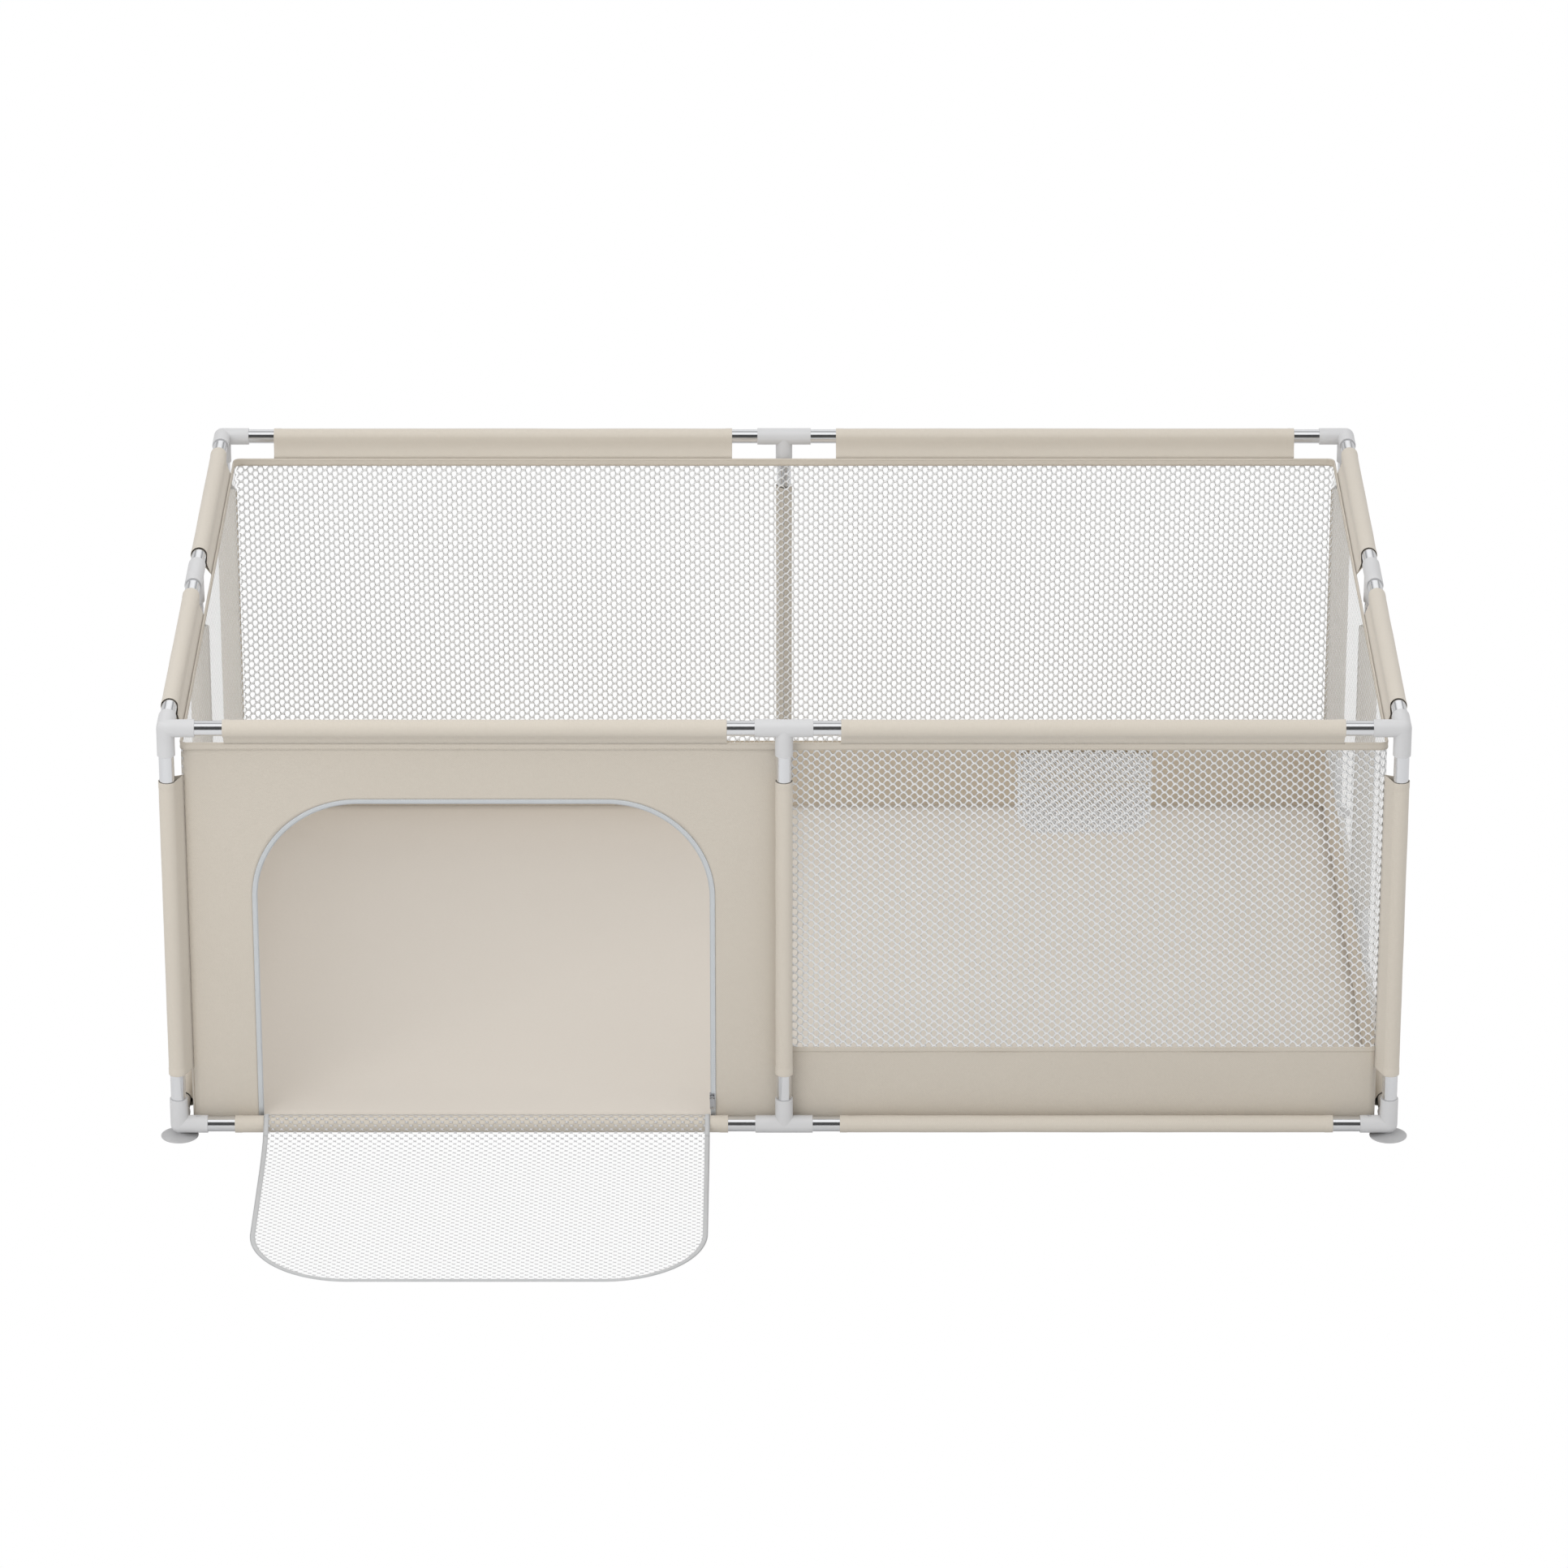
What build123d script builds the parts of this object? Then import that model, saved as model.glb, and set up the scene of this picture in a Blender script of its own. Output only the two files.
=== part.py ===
"""Indoor playpen: a rectangular tube frame with two bays on every side, held together by moulded
corner and tee fittings, and fabric walls that hang inside the frame on sewn sleeves. The front
left bay has an arch-shaped zip door of mesh, unzipped and folded out over the bottom rail onto
the floor. All sizes are millimetres, +Z is up and -Y is the front.

The origin is on the floor, under the middle of the whole object's box."""

import os
from math import asin, cos, degrees, radians, sin, sqrt

from build123d import *

os.makedirs("parts", exist_ok=True)

# Frame: distances between the axes of the tubes
frame_width = 1774.0
frame_length = 1174.0
post_height = 631.0
tube_r = 11.0
tube_wall = 0.8

# Moulded fittings
socket_clearance = 0.1
socket_wall = 1.9
socket_web = 4.4
socket_end_gap = 0.5
arm_length = 42.0
rim_r = 0.6
window_size = 6.0
window_depth = 1.6
window_offset = 28.0

# Suction feet
cup_r = 27.5
cup_rim = 3.0
cup_edge = 1.0
cup_neck_r = 7.0
cup_neck_top = 5.0
cup_hollow = 2.4
stud_r = 4.0
stud_length = 8.0
stud_clearance = 0.1
stud_end_gap = 1.0
foot_gap = 1.0

# Cloth sleeves round the tubes
sleeve_start = 82.0
sleeve_clearance = 0.8
cloth = 0.8
seam_height = 2.0
seam_gap = 0.05
seam_depth = 3.0
bottom_seam_drop = 8.0

# Walls
wall_gap = 6.0
wall_thickness = 1.2
wall_corner_r = 10.0
binding_drop = 30.0
binding_height = 12.0
binding_thickness = 2.4
skirt_height = 125.0
floor_drop = 9.0

# Zip door in the front left bay
door_offset = -1.7
door_width = 669.4
door_top_margin = 78.0
door_corner_r = 155.0
sill_above_rail = 5.0
sill_gap = 1.0
tape_width = 7.0
tape_thickness = 1.6
zip_gap = 1.4
flap_tape_width = 6.5
flap_thickness = 1.0
hinge_gap = 0.8
crest_clearance = 3.1
laid_height = 1.0
fold_slope = 30.0

# Zip slider and pull tab
slider_height = 54.0
slider_length = 12.0
slider_plate = 1.4
slider_clearance = 0.4
slider_post = 0.7
slider_post_gap = 0.35
bail_r = 0.9
bail_span = 3.6
bail_post = 1.1
bail_reach = 2.5
bail_rise = 2.0
eye_clearance = 0.3
eye_wall = 0.9
eye_width = 3.0
tab_width = 7.0
tab_length = 20.0
tab_thickness = 1.2
tab_corner_r = 2.0
tab_slot_r = 1.4

# Toy pocket inside the front right bay
pocket_offset = -1.5
pocket_width = 195.0
pocket_height = 133.0
pocket_mouth_drop = 50.0
pocket_depth = 28.0
pocket_foot = 8.0
pocket_corner_r = 26.0

# Fits: what goes in, over or beside a tube
socket_r = tube_r + socket_clearance
fitting_r = socket_r + socket_wall
socket_floor = socket_r + socket_web
tube_inset = socket_floor + socket_end_gap
sleeve_r = tube_r + sleeve_clearance + cloth
wall_inset = fitting_r + wall_gap

# Heights and distances of the frame and the walls
half_w = frame_width / 2
half_l = frame_length / 2
stud_top = cup_neck_top + stud_length
bottom_axis_height = cup_neck_top + foot_gap + fitting_r
top_axis_height = bottom_axis_height + post_height
wall_half_w = half_w - wall_inset
wall_half_l = half_l - wall_inset
binding_top = top_axis_height - binding_drop
wall_top = binding_top - binding_height
wall_bottom = bottom_axis_height - floor_drop
skirt_top = wall_bottom + skirt_height

# Door: the flap is as long as the doorway is high, and lies over the rail's sleeve
door_center = door_offset - wall_half_w / 2
sill_height = bottom_axis_height + sill_above_rail
door_top_height = wall_top - door_top_margin
rail_crest_height = bottom_axis_height + sleeve_r + flap_thickness / 2 + crest_clearance
sill_rise = rail_crest_height - sill_height
sill_length = sqrt(wall_inset**2 + sill_rise**2)
sill_slope = degrees(asin(sill_rise / sill_length))
fold_drop = rail_crest_height - laid_height
fold_length = fold_drop / sin(radians(fold_slope))
fold_reach = wall_inset + fold_length * cos(radians(fold_slope))
flap_half_w = door_width / 2 - tape_width - zip_gap
flap_length = door_top_height - tape_width - zip_gap - sill_height
flap_corner_r = door_corner_r - tape_width - zip_gap
laid_length = flap_length - sill_length - fold_length

front_reach = wall_half_l + fold_reach + laid_length
back_reach = half_l + cup_r
mid_y = (front_reach - back_reach) / 2
front_wall_y = mid_y - wall_half_l

up = Vector(0, 0, 1)
# Each side runs counter-clockwise, seen from above, so the inside is on its left.
sides = {
    "front": (Vector(-half_w, mid_y - half_l, 0), Vector(1, 0, 0), half_w),
    "right": (Vector(half_w, mid_y - half_l, 0), Vector(0, 1, 0), half_l),
    "back": (Vector(half_w, mid_y + half_l, 0), Vector(-1, 0, 0), half_w),
    "left": (Vector(-half_w, mid_y + half_l, 0), Vector(0, -1, 0), half_l),
}
corner_names = ["front_left", "front_right", "back_right", "back_left"]
bay_names = {
    "front": ("left", "right"),
    "right": ("front", "back"),
    "back": ("right", "left"),
    "left": ("back", "front"),
}
levels = {"bottom": bottom_axis_height, "top": top_axis_height}


def save(part, name):
    """Label a finished piece and write it to its own STEP file."""
    part.label = name
    export_step(part, f"parts/{name}.step")


def fitting(center, arms, foot=False, window=None):
    """A moulded socket fitting: a ball with one hollow arm for each tube. It is cut at the origin,
    so that every fitting comes out the same, and then set in its place."""
    side_arm = arms[-1]
    with BuildPart() as body:
        for arm in arms:
            across = side_arm if arm != side_arm else arms[0]
            with BuildSketch(Plane((0, 0, 0), x_dir=across, z_dir=across.cross(arm))):
                with BuildLine():
                    rim_start, rim_end = (fitting_r, arm_length - rim_r), (fitting_r - rim_r, arm_length)
                    Polyline((0, arm_length), (0, 0), (fitting_r, 0), rim_start)
                    RadiusArc(rim_start, rim_end, -rim_r)
                    Line(rim_end, (0, arm_length))
                make_face()
            revolve(axis=Axis((0, 0, 0), arm))
        if arms[0] != -arms[1]:
            Sphere(fitting_r)
        for arm in arms:
            with BuildSketch(Plane(arm * socket_floor, z_dir=arm)):
                Circle(socket_r)
            extrude(amount=arm_length - socket_floor, mode=Mode.SUBTRACT)
        if foot:
            with BuildSketch(Plane(up * -fitting_r, z_dir=up)):
                Circle(stud_r + stud_clearance)
            extrude(amount=stud_length - foot_gap + stud_end_gap, mode=Mode.SUBTRACT)
        if window:
            arm_top = window * window_offset + up * fitting_r
            with BuildSketch(Plane(arm_top, x_dir=window, z_dir=-up)):
                Rectangle(window_size, window_size)
            extrude(amount=window_depth, mode=Mode.SUBTRACT)
    return body.part.moved(Location(center))


def tube(start, end):
    """A straight thin-walled steel tube between two points."""
    with BuildPart() as body:
        with BuildSketch(Plane(start, z_dir=end - start)):
            Circle(tube_r)
            Circle(tube_r - tube_wall, mode=Mode.SUBTRACT)
        extrude(amount=(end - start).length)
    return body.part


def teardrop(radius, reach, drop):
    """The outline of a cloth loop round a tube, drawn out to a seam on the wall beside it."""
    with BuildSketch() as outline:
        with BuildLine():
            CenterArc((0, 0), radius, 0, 360)
            Line((reach, -drop - seam_height / 2), (reach, -drop + seam_height / 2))
        make_hull()
    return outline.sketch


def sleeve(origin, towards, along, reach, drop, length):
    """A cloth sleeve round a tube, open at both ends, with its seam towards the wall."""
    with BuildPart() as body:
        with BuildSketch(Plane(origin, x_dir=towards, z_dir=along)):
            add(teardrop(sleeve_r, reach, drop))
            add(teardrop(sleeve_r - cloth, reach - seam_depth, drop), mode=Mode.SUBTRACT)
        extrude(amount=length)
    return body.part


# Corner fittings, tees, rails and posts
for (side, (start, along, bay)), corner in zip(sides.items(), corner_names):
    inward = up.cross(along)
    middle = start + along * bay
    for level, height in levels.items():
        lift = up * height
        upright = up if level == "bottom" else -up
        is_bottom = level == "bottom"
        window = None
        if is_bottom and "front" in corner:
            window = Vector(1 if "left" in corner else -1, 0, 0)
        arms = [along, inward, upright]
        save(fitting(start + lift, arms, foot=is_bottom, window=window), f"{corner}_{level}_corner")
        save(fitting(middle + lift, [along, -along, upright]), f"{side}_{level}_tee")
        for half, half_name in enumerate(bay_names[side]):
            near = start + along * (bay * half + tube_inset) + lift
            far = start + along * (bay * (half + 1) - tube_inset) + lift
            save(tube(near, far), f"{side}_{level}_rail_{half_name}")
    foot, head = up * (bottom_axis_height + tube_inset), up * (top_axis_height - tube_inset)
    save(tube(start + foot, start + head), f"{corner}_corner_post")
    save(tube(middle + foot, middle + head), f"{side}_middle_post")

# Suction feet: shallow rubber cups, each with a stud that pushes up into a corner fitting
with BuildPart() as suction_feet:
    for start, along, bay in sides.values():
        with BuildSketch(Plane(start, x_dir=(1, 0, 0), z_dir=(0, -1, 0))):
            with BuildLine():
                Polyline(
                    (0, cup_hollow),
                    (cup_neck_r, cup_hollow),
                    (cup_r - cup_rim, 0),
                    (cup_r, 0),
                    (cup_r, cup_edge),
                    (cup_neck_r, cup_neck_top),
                    (stud_r, cup_neck_top),
                    (stud_r, stud_top),
                    (0, stud_top),
                    close=True,
                )
            make_face()
        revolve(axis=Axis(start, up))
save(suction_feet.part, "suction_feet")

# Cloth sleeves: one round every rail, and one round every post
for level, height in levels.items():
    if level == "top":
        seam_reach, seam_drop = wall_inset - binding_thickness / 2, binding_drop + seam_height
    else:
        seam_reach, seam_drop = wall_inset - wall_thickness / 2, bottom_seam_drop
    with BuildPart() as rail_sleeves:
        for start, along, bay in sides.values():
            for half in (0, 1):
                origin = start + along * (bay * half + sleeve_start) + up * height
                length = bay - 2 * sleeve_start
                add(sleeve(origin, up.cross(along), along, seam_reach, seam_drop, length))
    save(rail_sleeves.part, f"{level}_rail_sleeves")

corner_seam = (wall_inset + wall_corner_r) * sqrt(2) - wall_corner_r - wall_thickness / 2 - seam_gap
with BuildPart() as post_sleeves:
    for start, along, bay in sides.values():
        inward = up.cross(along)
        middle_seam = wall_inset - wall_thickness / 2
        posts = ((start, along + inward, corner_seam), (start + along * bay, inward, middle_seam))
        for foot, towards, reach in posts:
            origin = foot + up * (bottom_axis_height + sleeve_start)
            add(sleeve(origin, towards, up, reach, 0, post_height - 2 * sleeve_start))
save(post_sleeves.part, "post_sleeves")


def wall_ring(thickness):
    """The walls seen from above: a thin rounded rectangle."""
    for grow, mode in ((thickness / 2, Mode.ADD), (-thickness / 2, Mode.SUBTRACT)):
        wide, long = 2 * (wall_half_w + grow), 2 * (wall_half_l + grow)
        RectangleRounded(wide, long, wall_corner_r + grow, mode=mode)


def wall_side(side):
    """The quarter of that ring that belongs to one side, cut on the corners' diagonals."""
    out = 2 * wall_thickness
    far_x, far_y = wall_half_w + out, wall_half_l + out
    ridge = wall_half_w - wall_half_l
    outlines = {
        "front": [(-far_x, -far_y), (far_x, -far_y), (ridge, 0), (-ridge, 0)],
        "front_left": [(-far_x, -far_y), (0, -far_y), (0, 0), (-ridge, 0)],
        "front_right": [(0, -far_y), (far_x, -far_y), (ridge, 0), (0, 0)],
        "right": [(far_x, -far_y), (far_x, far_y), (ridge, 0)],
        "back": [(far_x, far_y), (-far_x, far_y), (-ridge, 0), (ridge, 0)],
        "left": [(-far_x, far_y), (-far_x, -far_y), (-ridge, 0)],
    }
    wall_ring(wall_thickness)
    Polygon(*outlines[side], align=None, mode=Mode.INTERSECT)


def door_arch(half_width, bottom, top, corner_r):
    """A door outline: straight sides, a flat foot and two round top corners."""
    with BuildSketch() as arch:
        with Locations((0, bottom)):
            Rectangle(2 * half_width, top - bottom, align=(Align.CENTER, Align.MIN))
        fillet(arch.vertices().group_by(Axis.Y)[-1], corner_r)
    return arch.sketch


# Front left panel: closed cloth with the arched doorway cut out, above a low sill
door_plane = Plane((door_center, front_wall_y, 0), x_dir=(1, 0, 0), z_dir=(0, -1, 0))
with BuildPart() as front_left_panel:
    with BuildSketch(Plane((0, mid_y, wall_bottom))):
        wall_side("front_left")
    extrude(amount=wall_top - wall_bottom)
    with BuildSketch(door_plane):
        add(door_arch(door_width / 2, sill_height - sill_gap, door_top_height, door_corner_r))
    extrude(amount=wall_thickness, both=True, mode=Mode.SUBTRACT)
save(front_left_panel.part, "front_left_panel")

# Mesh walls, above the skirts
for side in ("front_right", "right", "back", "left"):
    with BuildPart() as mesh_wall:
        with BuildSketch(Plane((0, mid_y, skirt_top))):
            wall_side(side)
        extrude(amount=wall_top - skirt_top)
    save(mesh_wall.part, f"{side}_mesh")

# Skirts: the closed cloth bands along the foot of the mesh walls
with BuildPart() as wall_skirts:
    for side in ("front_right", "right", "back", "left"):
        with BuildSketch(Plane((0, mid_y, wall_bottom))):
            wall_side(side)
        extrude(amount=skirt_height)
save(wall_skirts.part, "wall_skirts")

# Binding: one band folded over the top edge of all the walls
with BuildPart() as top_binding:
    with BuildSketch(Plane((0, mid_y, wall_top))):
        wall_ring(binding_thickness)
    extrude(amount=binding_height)
save(top_binding.part, "top_binding")

# Floor sheet, sewn to the foot of the walls
with BuildPart() as floor_sheet:
    with BuildSketch(Plane((0, mid_y, wall_bottom))):
        inside = wall_thickness / 2
        wide, long = 2 * (wall_half_w - inside), 2 * (wall_half_l - inside)
        RectangleRounded(wide, long, wall_corner_r - inside)
    extrude(amount=wall_thickness)
save(floor_sheet.part, "floor_sheet")

# Zipper tape on the panel, round the doorway
with BuildPart() as door_zipper_tape:
    with BuildSketch(door_plane):
        inner_half_w = door_width / 2 - tape_width
        inner_top, inner_r = door_top_height - tape_width, door_corner_r - tape_width
        add(door_arch(door_width / 2, sill_height, door_top_height, door_corner_r))
        add(door_arch(inner_half_w, sill_height, inner_top, inner_r), mode=Mode.SUBTRACT)
    extrude(amount=tape_thickness / 2, both=True)
save(door_zipper_tape.part, "door_zipper_tape")


def flap_plane(reach, height, slope):
    """A plane across the door flap, with its own Y running outwards and up by the slope."""
    run = Vector(0, -cos(radians(slope)), sin(radians(slope)))
    across = Vector(1, 0, 0)
    return Plane((door_center, front_wall_y - reach, height), x_dir=across, z_dir=across.cross(run))


# Door flap: mesh cloth that hinges on the sill, goes over the rail, down to the floor and lies flat
flap_strips = {
    "door_flap_sill": (flap_plane(0, sill_height, sill_slope), sill_length),
    "door_flap_fold": (flap_plane(wall_inset, rail_crest_height, -fold_slope), fold_length),
}
for name, (plane, length) in flap_strips.items():
    with BuildPart() as flap_strip:
        with BuildSketch(plane):
            with Locations((0, hinge_gap)):
                Rectangle(2 * flap_half_w, length - 2 * hinge_gap, align=(Align.CENTER, Align.MIN))
        extrude(amount=flap_thickness / 2, both=True)
    save(flap_strip.part, name)

laid_plane = flap_plane(fold_reach, laid_height, 0)
mesh_half_w = flap_half_w - flap_tape_width
mesh_length = laid_length - flap_tape_width
mesh_corner_r = flap_corner_r - flap_tape_width
with BuildPart() as door_flap:
    with BuildSketch(laid_plane):
        add(door_arch(mesh_half_w, hinge_gap, mesh_length, mesh_corner_r))
    extrude(amount=flap_thickness / 2, both=True)
save(door_flap.part, "door_flap")

with BuildPart() as door_flap_tape:
    with BuildSketch(laid_plane):
        add(door_arch(flap_half_w, hinge_gap, laid_length, flap_corner_r))
        add(door_arch(mesh_half_w, hinge_gap, mesh_length, mesh_corner_r), mode=Mode.SUBTRACT)
    extrude(amount=tape_thickness / 2, both=True)
save(door_flap_tape.part, "door_flap_tape")

# Zip slider: two plates either side of the panel's tape, joined by a post at the teeth
tape_inner_x = door_center + door_width / 2 - tape_width
post_low_x = tape_inner_x - slider_post_gap - slider_post
plate_high_x = tape_inner_x + tape_width - slider_clearance
plate_low_y = tape_thickness / 2 + slider_clearance
slider_x = (post_low_x + plate_high_x) / 2
slider_width = plate_high_x - post_low_x
bail_y = plate_low_y + slider_plate + bail_reach
slider_plane = Plane((slider_x, front_wall_y, slider_height), x_dir=(1, 0, 0), z_dir=(0, -1, 0))
with BuildPart() as zip_slider:
    for face in (plate_low_y, -plate_low_y - slider_plate):
        with BuildSketch(slider_plane.offset(face)) as plate:
            Rectangle(slider_width, slider_length)
            chamfer(plate.vertices().group_by(Axis.Y)[0], slider_width / 5)
        extrude(amount=slider_plate)
    with BuildSketch(slider_plane.offset(-plate_low_y)):
        with Locations((-slider_width / 2 + slider_post / 2, 0)):
            Rectangle(slider_post, slider_length / 2)
    extrude(amount=2 * plate_low_y)
    with BuildSketch(slider_plane.offset(plate_low_y + slider_plate)):
        bail_side = bail_span / 2 + bail_post / 2
        with Locations((-bail_side, bail_rise), (bail_side, bail_rise)):
            Rectangle(bail_post, 2 * bail_r)
    extrude(amount=bail_reach + bail_r)
    bail_center = Vector(slider_x, front_wall_y - bail_y, slider_height + bail_rise)
    with BuildSketch(Plane(bail_center - Vector(bail_span / 2, 0, 0), z_dir=(1, 0, 0))):
        Circle(bail_r)
    extrude(amount=bail_span)
save(zip_slider.part, "zip_slider")

# Pull tab, hanging from the slider's bail by its eye
eye_r = bail_r + eye_clearance
tab_top = eye_r + eye_wall + eye_clearance
with BuildPart() as zip_pull_tab:
    with BuildSketch(Plane(bail_center, x_dir=(1, 0, 0), z_dir=(0, -1, 0))) as tab_face:
        with Locations((0, -tab_top)):
            Rectangle(tab_width, tab_length - tab_top, align=(Align.CENTER, Align.MAX))
        fillet(tab_face.vertices(), tab_corner_r)
        with Locations((0, -tab_length + 2 * tab_corner_r)):
            Circle(tab_slot_r, mode=Mode.SUBTRACT)
        Rectangle(eye_width, tab_top + tab_corner_r, align=(Align.CENTER, Align.MAX))
    extrude(amount=tab_thickness / 2, both=True)
    eye_plane = Plane(bail_center - Vector(eye_width / 2, 0, 0), z_dir=(1, 0, 0))
    with BuildSketch(eye_plane):
        Circle(eye_r + eye_wall)
    extrude(amount=eye_width)
    with BuildSketch(eye_plane):
        Circle(eye_r)
    extrude(amount=eye_width, mode=Mode.SUBTRACT)
save(zip_pull_tab.part, "zip_pull_tab")

# Toy pocket: a mesh pouch with a backing that hangs from the binding, on the wall's inner face
pocket_center = pocket_offset + wall_half_w / 2
pocket_y = front_wall_y + wall_thickness / 2
pocket_plane = Plane((pocket_center, pocket_y, 0), x_dir=(1, 0, 0), z_dir=(0, -1, 0))
pocket_foot_height = wall_top - pocket_height
mouth_height = wall_top - pocket_mouth_drop


def pouch(inset, top):
    """The pouch's solid: a wedge, widest at the mouth, inside the pocket's rounded outline."""
    half = pocket_width / 2 - inset
    foot = pocket_foot_height + inset
    with BuildPart() as body:
        section_plane = Plane((pocket_center - half, pocket_y, 0), x_dir=(0, 1, 0), z_dir=(1, 0, 0))
        with BuildSketch(section_plane):
            with BuildLine():
                Polyline(
                    (cloth, foot),
                    (cloth + pocket_foot - inset, foot),
                    (cloth + pocket_depth - inset, top),
                    (cloth, top),
                    close=True,
                )
            make_face()
        extrude(amount=2 * half)
        with BuildSketch(pocket_plane) as outline:
            with Locations((0, foot)):
                Rectangle(2 * half, top - foot, align=(Align.CENTER, Align.MIN))
            fillet(outline.vertices().group_by(Axis.Y)[0], pocket_corner_r - inset)
        extrude(amount=-2 * pocket_depth, mode=Mode.INTERSECT)
    return body.part


with BuildPart() as toy_pocket:
    with BuildSketch(pocket_plane) as backing:
        with Locations((0, pocket_foot_height)):
            Rectangle(pocket_width, pocket_height, align=(Align.CENTER, Align.MIN))
        fillet(backing.vertices().group_by(Axis.Y)[0], pocket_corner_r)
    extrude(amount=-cloth)
    add(pouch(0, mouth_height))
    add(pouch(cloth, mouth_height + cloth), mode=Mode.SUBTRACT)
save(toy_pocket.part, "toy_pocket")
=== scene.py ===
"""Looks of an indoor playpen: steel tubes in moulded fittings, cloth sleeves, net walls and a zip door.

Everything is in metres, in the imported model's own frame: +Z up, -Y the front, the floor at z = 0.
"""

from math import asin, atan2, cos, hypot, pi, radians, sin, sqrt

import bmesh
import bpy
import numpy as np
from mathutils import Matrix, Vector, noise


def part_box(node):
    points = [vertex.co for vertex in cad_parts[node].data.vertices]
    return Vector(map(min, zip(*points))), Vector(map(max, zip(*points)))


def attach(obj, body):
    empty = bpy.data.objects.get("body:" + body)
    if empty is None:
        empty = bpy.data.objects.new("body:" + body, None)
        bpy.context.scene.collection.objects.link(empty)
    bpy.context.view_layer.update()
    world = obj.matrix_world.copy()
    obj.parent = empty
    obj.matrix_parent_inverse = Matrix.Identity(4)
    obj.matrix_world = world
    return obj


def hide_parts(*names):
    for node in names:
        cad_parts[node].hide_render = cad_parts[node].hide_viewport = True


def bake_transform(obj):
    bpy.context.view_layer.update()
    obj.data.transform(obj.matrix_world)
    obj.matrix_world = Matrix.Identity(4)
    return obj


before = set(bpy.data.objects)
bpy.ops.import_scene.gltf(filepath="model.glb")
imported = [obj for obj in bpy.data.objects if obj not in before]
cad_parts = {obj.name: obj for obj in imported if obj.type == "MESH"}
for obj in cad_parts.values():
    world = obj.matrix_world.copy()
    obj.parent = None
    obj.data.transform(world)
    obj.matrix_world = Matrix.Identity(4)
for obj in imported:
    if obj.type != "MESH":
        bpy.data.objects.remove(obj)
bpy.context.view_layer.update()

MM = 0.001
UP = Vector((0, 0, 1))
HAIR = 1e-6  # metres: nearer than this is the same place
WELD = 0.04 * MM  # points of a net this near to each other are one


def low(node):
    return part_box(node)[0]


def high(node):
    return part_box(node)[1]


# ---------------------------------------------------------------- sizes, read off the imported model
binding_half = 1.2 * MM  # half the binding's thickness
ring_w = (high("top_binding").x - low("top_binding").x) / 2 - binding_half
ring_l = (high("top_binding").y - low("top_binding").y) / 2 - binding_half
ring_y = (high("top_binding").y + low("top_binding").y) / 2
ring_r = 10 * MM
front_y = ring_y - ring_l
wall_low = low("floor_sheet").z
wall_high = low("top_binding").z
skirt_high = high("wall_skirts").z
top_rail_z = (low("front_top_rail_left").z + high("front_top_rail_left").z) / 2
low_rail_z = (low("front_bottom_rail_left").z + high("front_bottom_rail_left").z) / 2
rail_y = (low("front_bottom_rail_left").y + high("front_bottom_rail_left").y) / 2
rail_gap = front_y - rail_y
post_x = (low("front_left_corner_post").x + high("front_left_corner_post").x) / 2
frame_half_w = -post_x
frame_half_l = ring_l + rail_gap

door_low, door_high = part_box("door_zipper_tape")
door_x = (door_low.x + door_high.x) / 2
door_half = (door_high.x - door_low.x) / 2
door_top = door_high.z
sill_z = door_low.z
door_r = 155 * MM
zip_band = 7 * MM
flap_half = (high("door_flap_tape").x - low("door_flap_tape").x) / 2
flap_r = 146.6 * MM
flap_band = 6.5 * MM


# ---------------------------------------------------------------- node trees
MATHS, VECTORS = "ShaderNodeMath", "ShaderNodeVectorMath"
SWITCH, ON_DOMAIN = "GeometryNodeSwitch", "GeometryNodeFieldOnDomain"
SET_POSITION = "GeometryNodeSetPosition"


def put(tree, kind, values=None, **settings):
    """Adds a node. Settings are its own properties; values go to its inputs, by name or by number,
    and are a plain value, another node's output, or a node, whose first output is meant."""
    node = tree.nodes.new(kind)
    for key, value in settings.items():
        setattr(node, key, value)
    for key, value in (values or {}).items():
        if isinstance(value, bpy.types.Node):
            value = value.outputs[0]
        if isinstance(value, bpy.types.NodeSocket):
            tree.links.new(value, node.inputs[key])
        else:
            node.inputs[key].default_value = value
    return node


def linear(code):
    """An sRGB hex colour as linear RGBA."""
    parts = [int(code[i : i + 2], 16) / 255 for i in (0, 2, 4)]
    return [c / 12.92 if c <= 0.04045 else ((c + 0.055) / 1.055) ** 2.4 for c in parts] + [1]


def material(name, **shader):
    """A new node material with those shader inputs: itself, its tree, its shader and the object
    coordinates in millimetres."""
    made = bpy.data.materials.new(name)
    made.use_nodes = True
    tree = made.node_tree
    tree.nodes.clear()
    bsdf = put(tree, "ShaderNodeBsdfPrincipled", shader)
    put(tree, "ShaderNodeOutputMaterial", {"Surface": bsdf})
    place = put(tree, "ShaderNodeTexCoord").outputs["Object"]
    spot = put(tree, VECTORS, {0: place, 1: (1 / MM, 1 / MM, 1 / MM)}, operation="MULTIPLY")
    return made, tree, bsdf, spot


def surface(tree, bsdf, tone, dark, light, height, strength, depth):
    """Colour from dark to light by a tone, and bump from a height, with its depth in millimetres."""
    mix = put(tree, "ShaderNodeMix", {0: tone, 6: linear(dark), 7: linear(light)}, data_type="RGBA")
    tree.links.new(mix.outputs[2], bsdf.inputs["Base Color"])
    bump = put(tree, "ShaderNodeBump", {"Strength": strength, "Distance": depth * MM, "Height": height})
    tree.links.new(bump.outputs[0], bsdf.inputs["Normal"])


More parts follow.
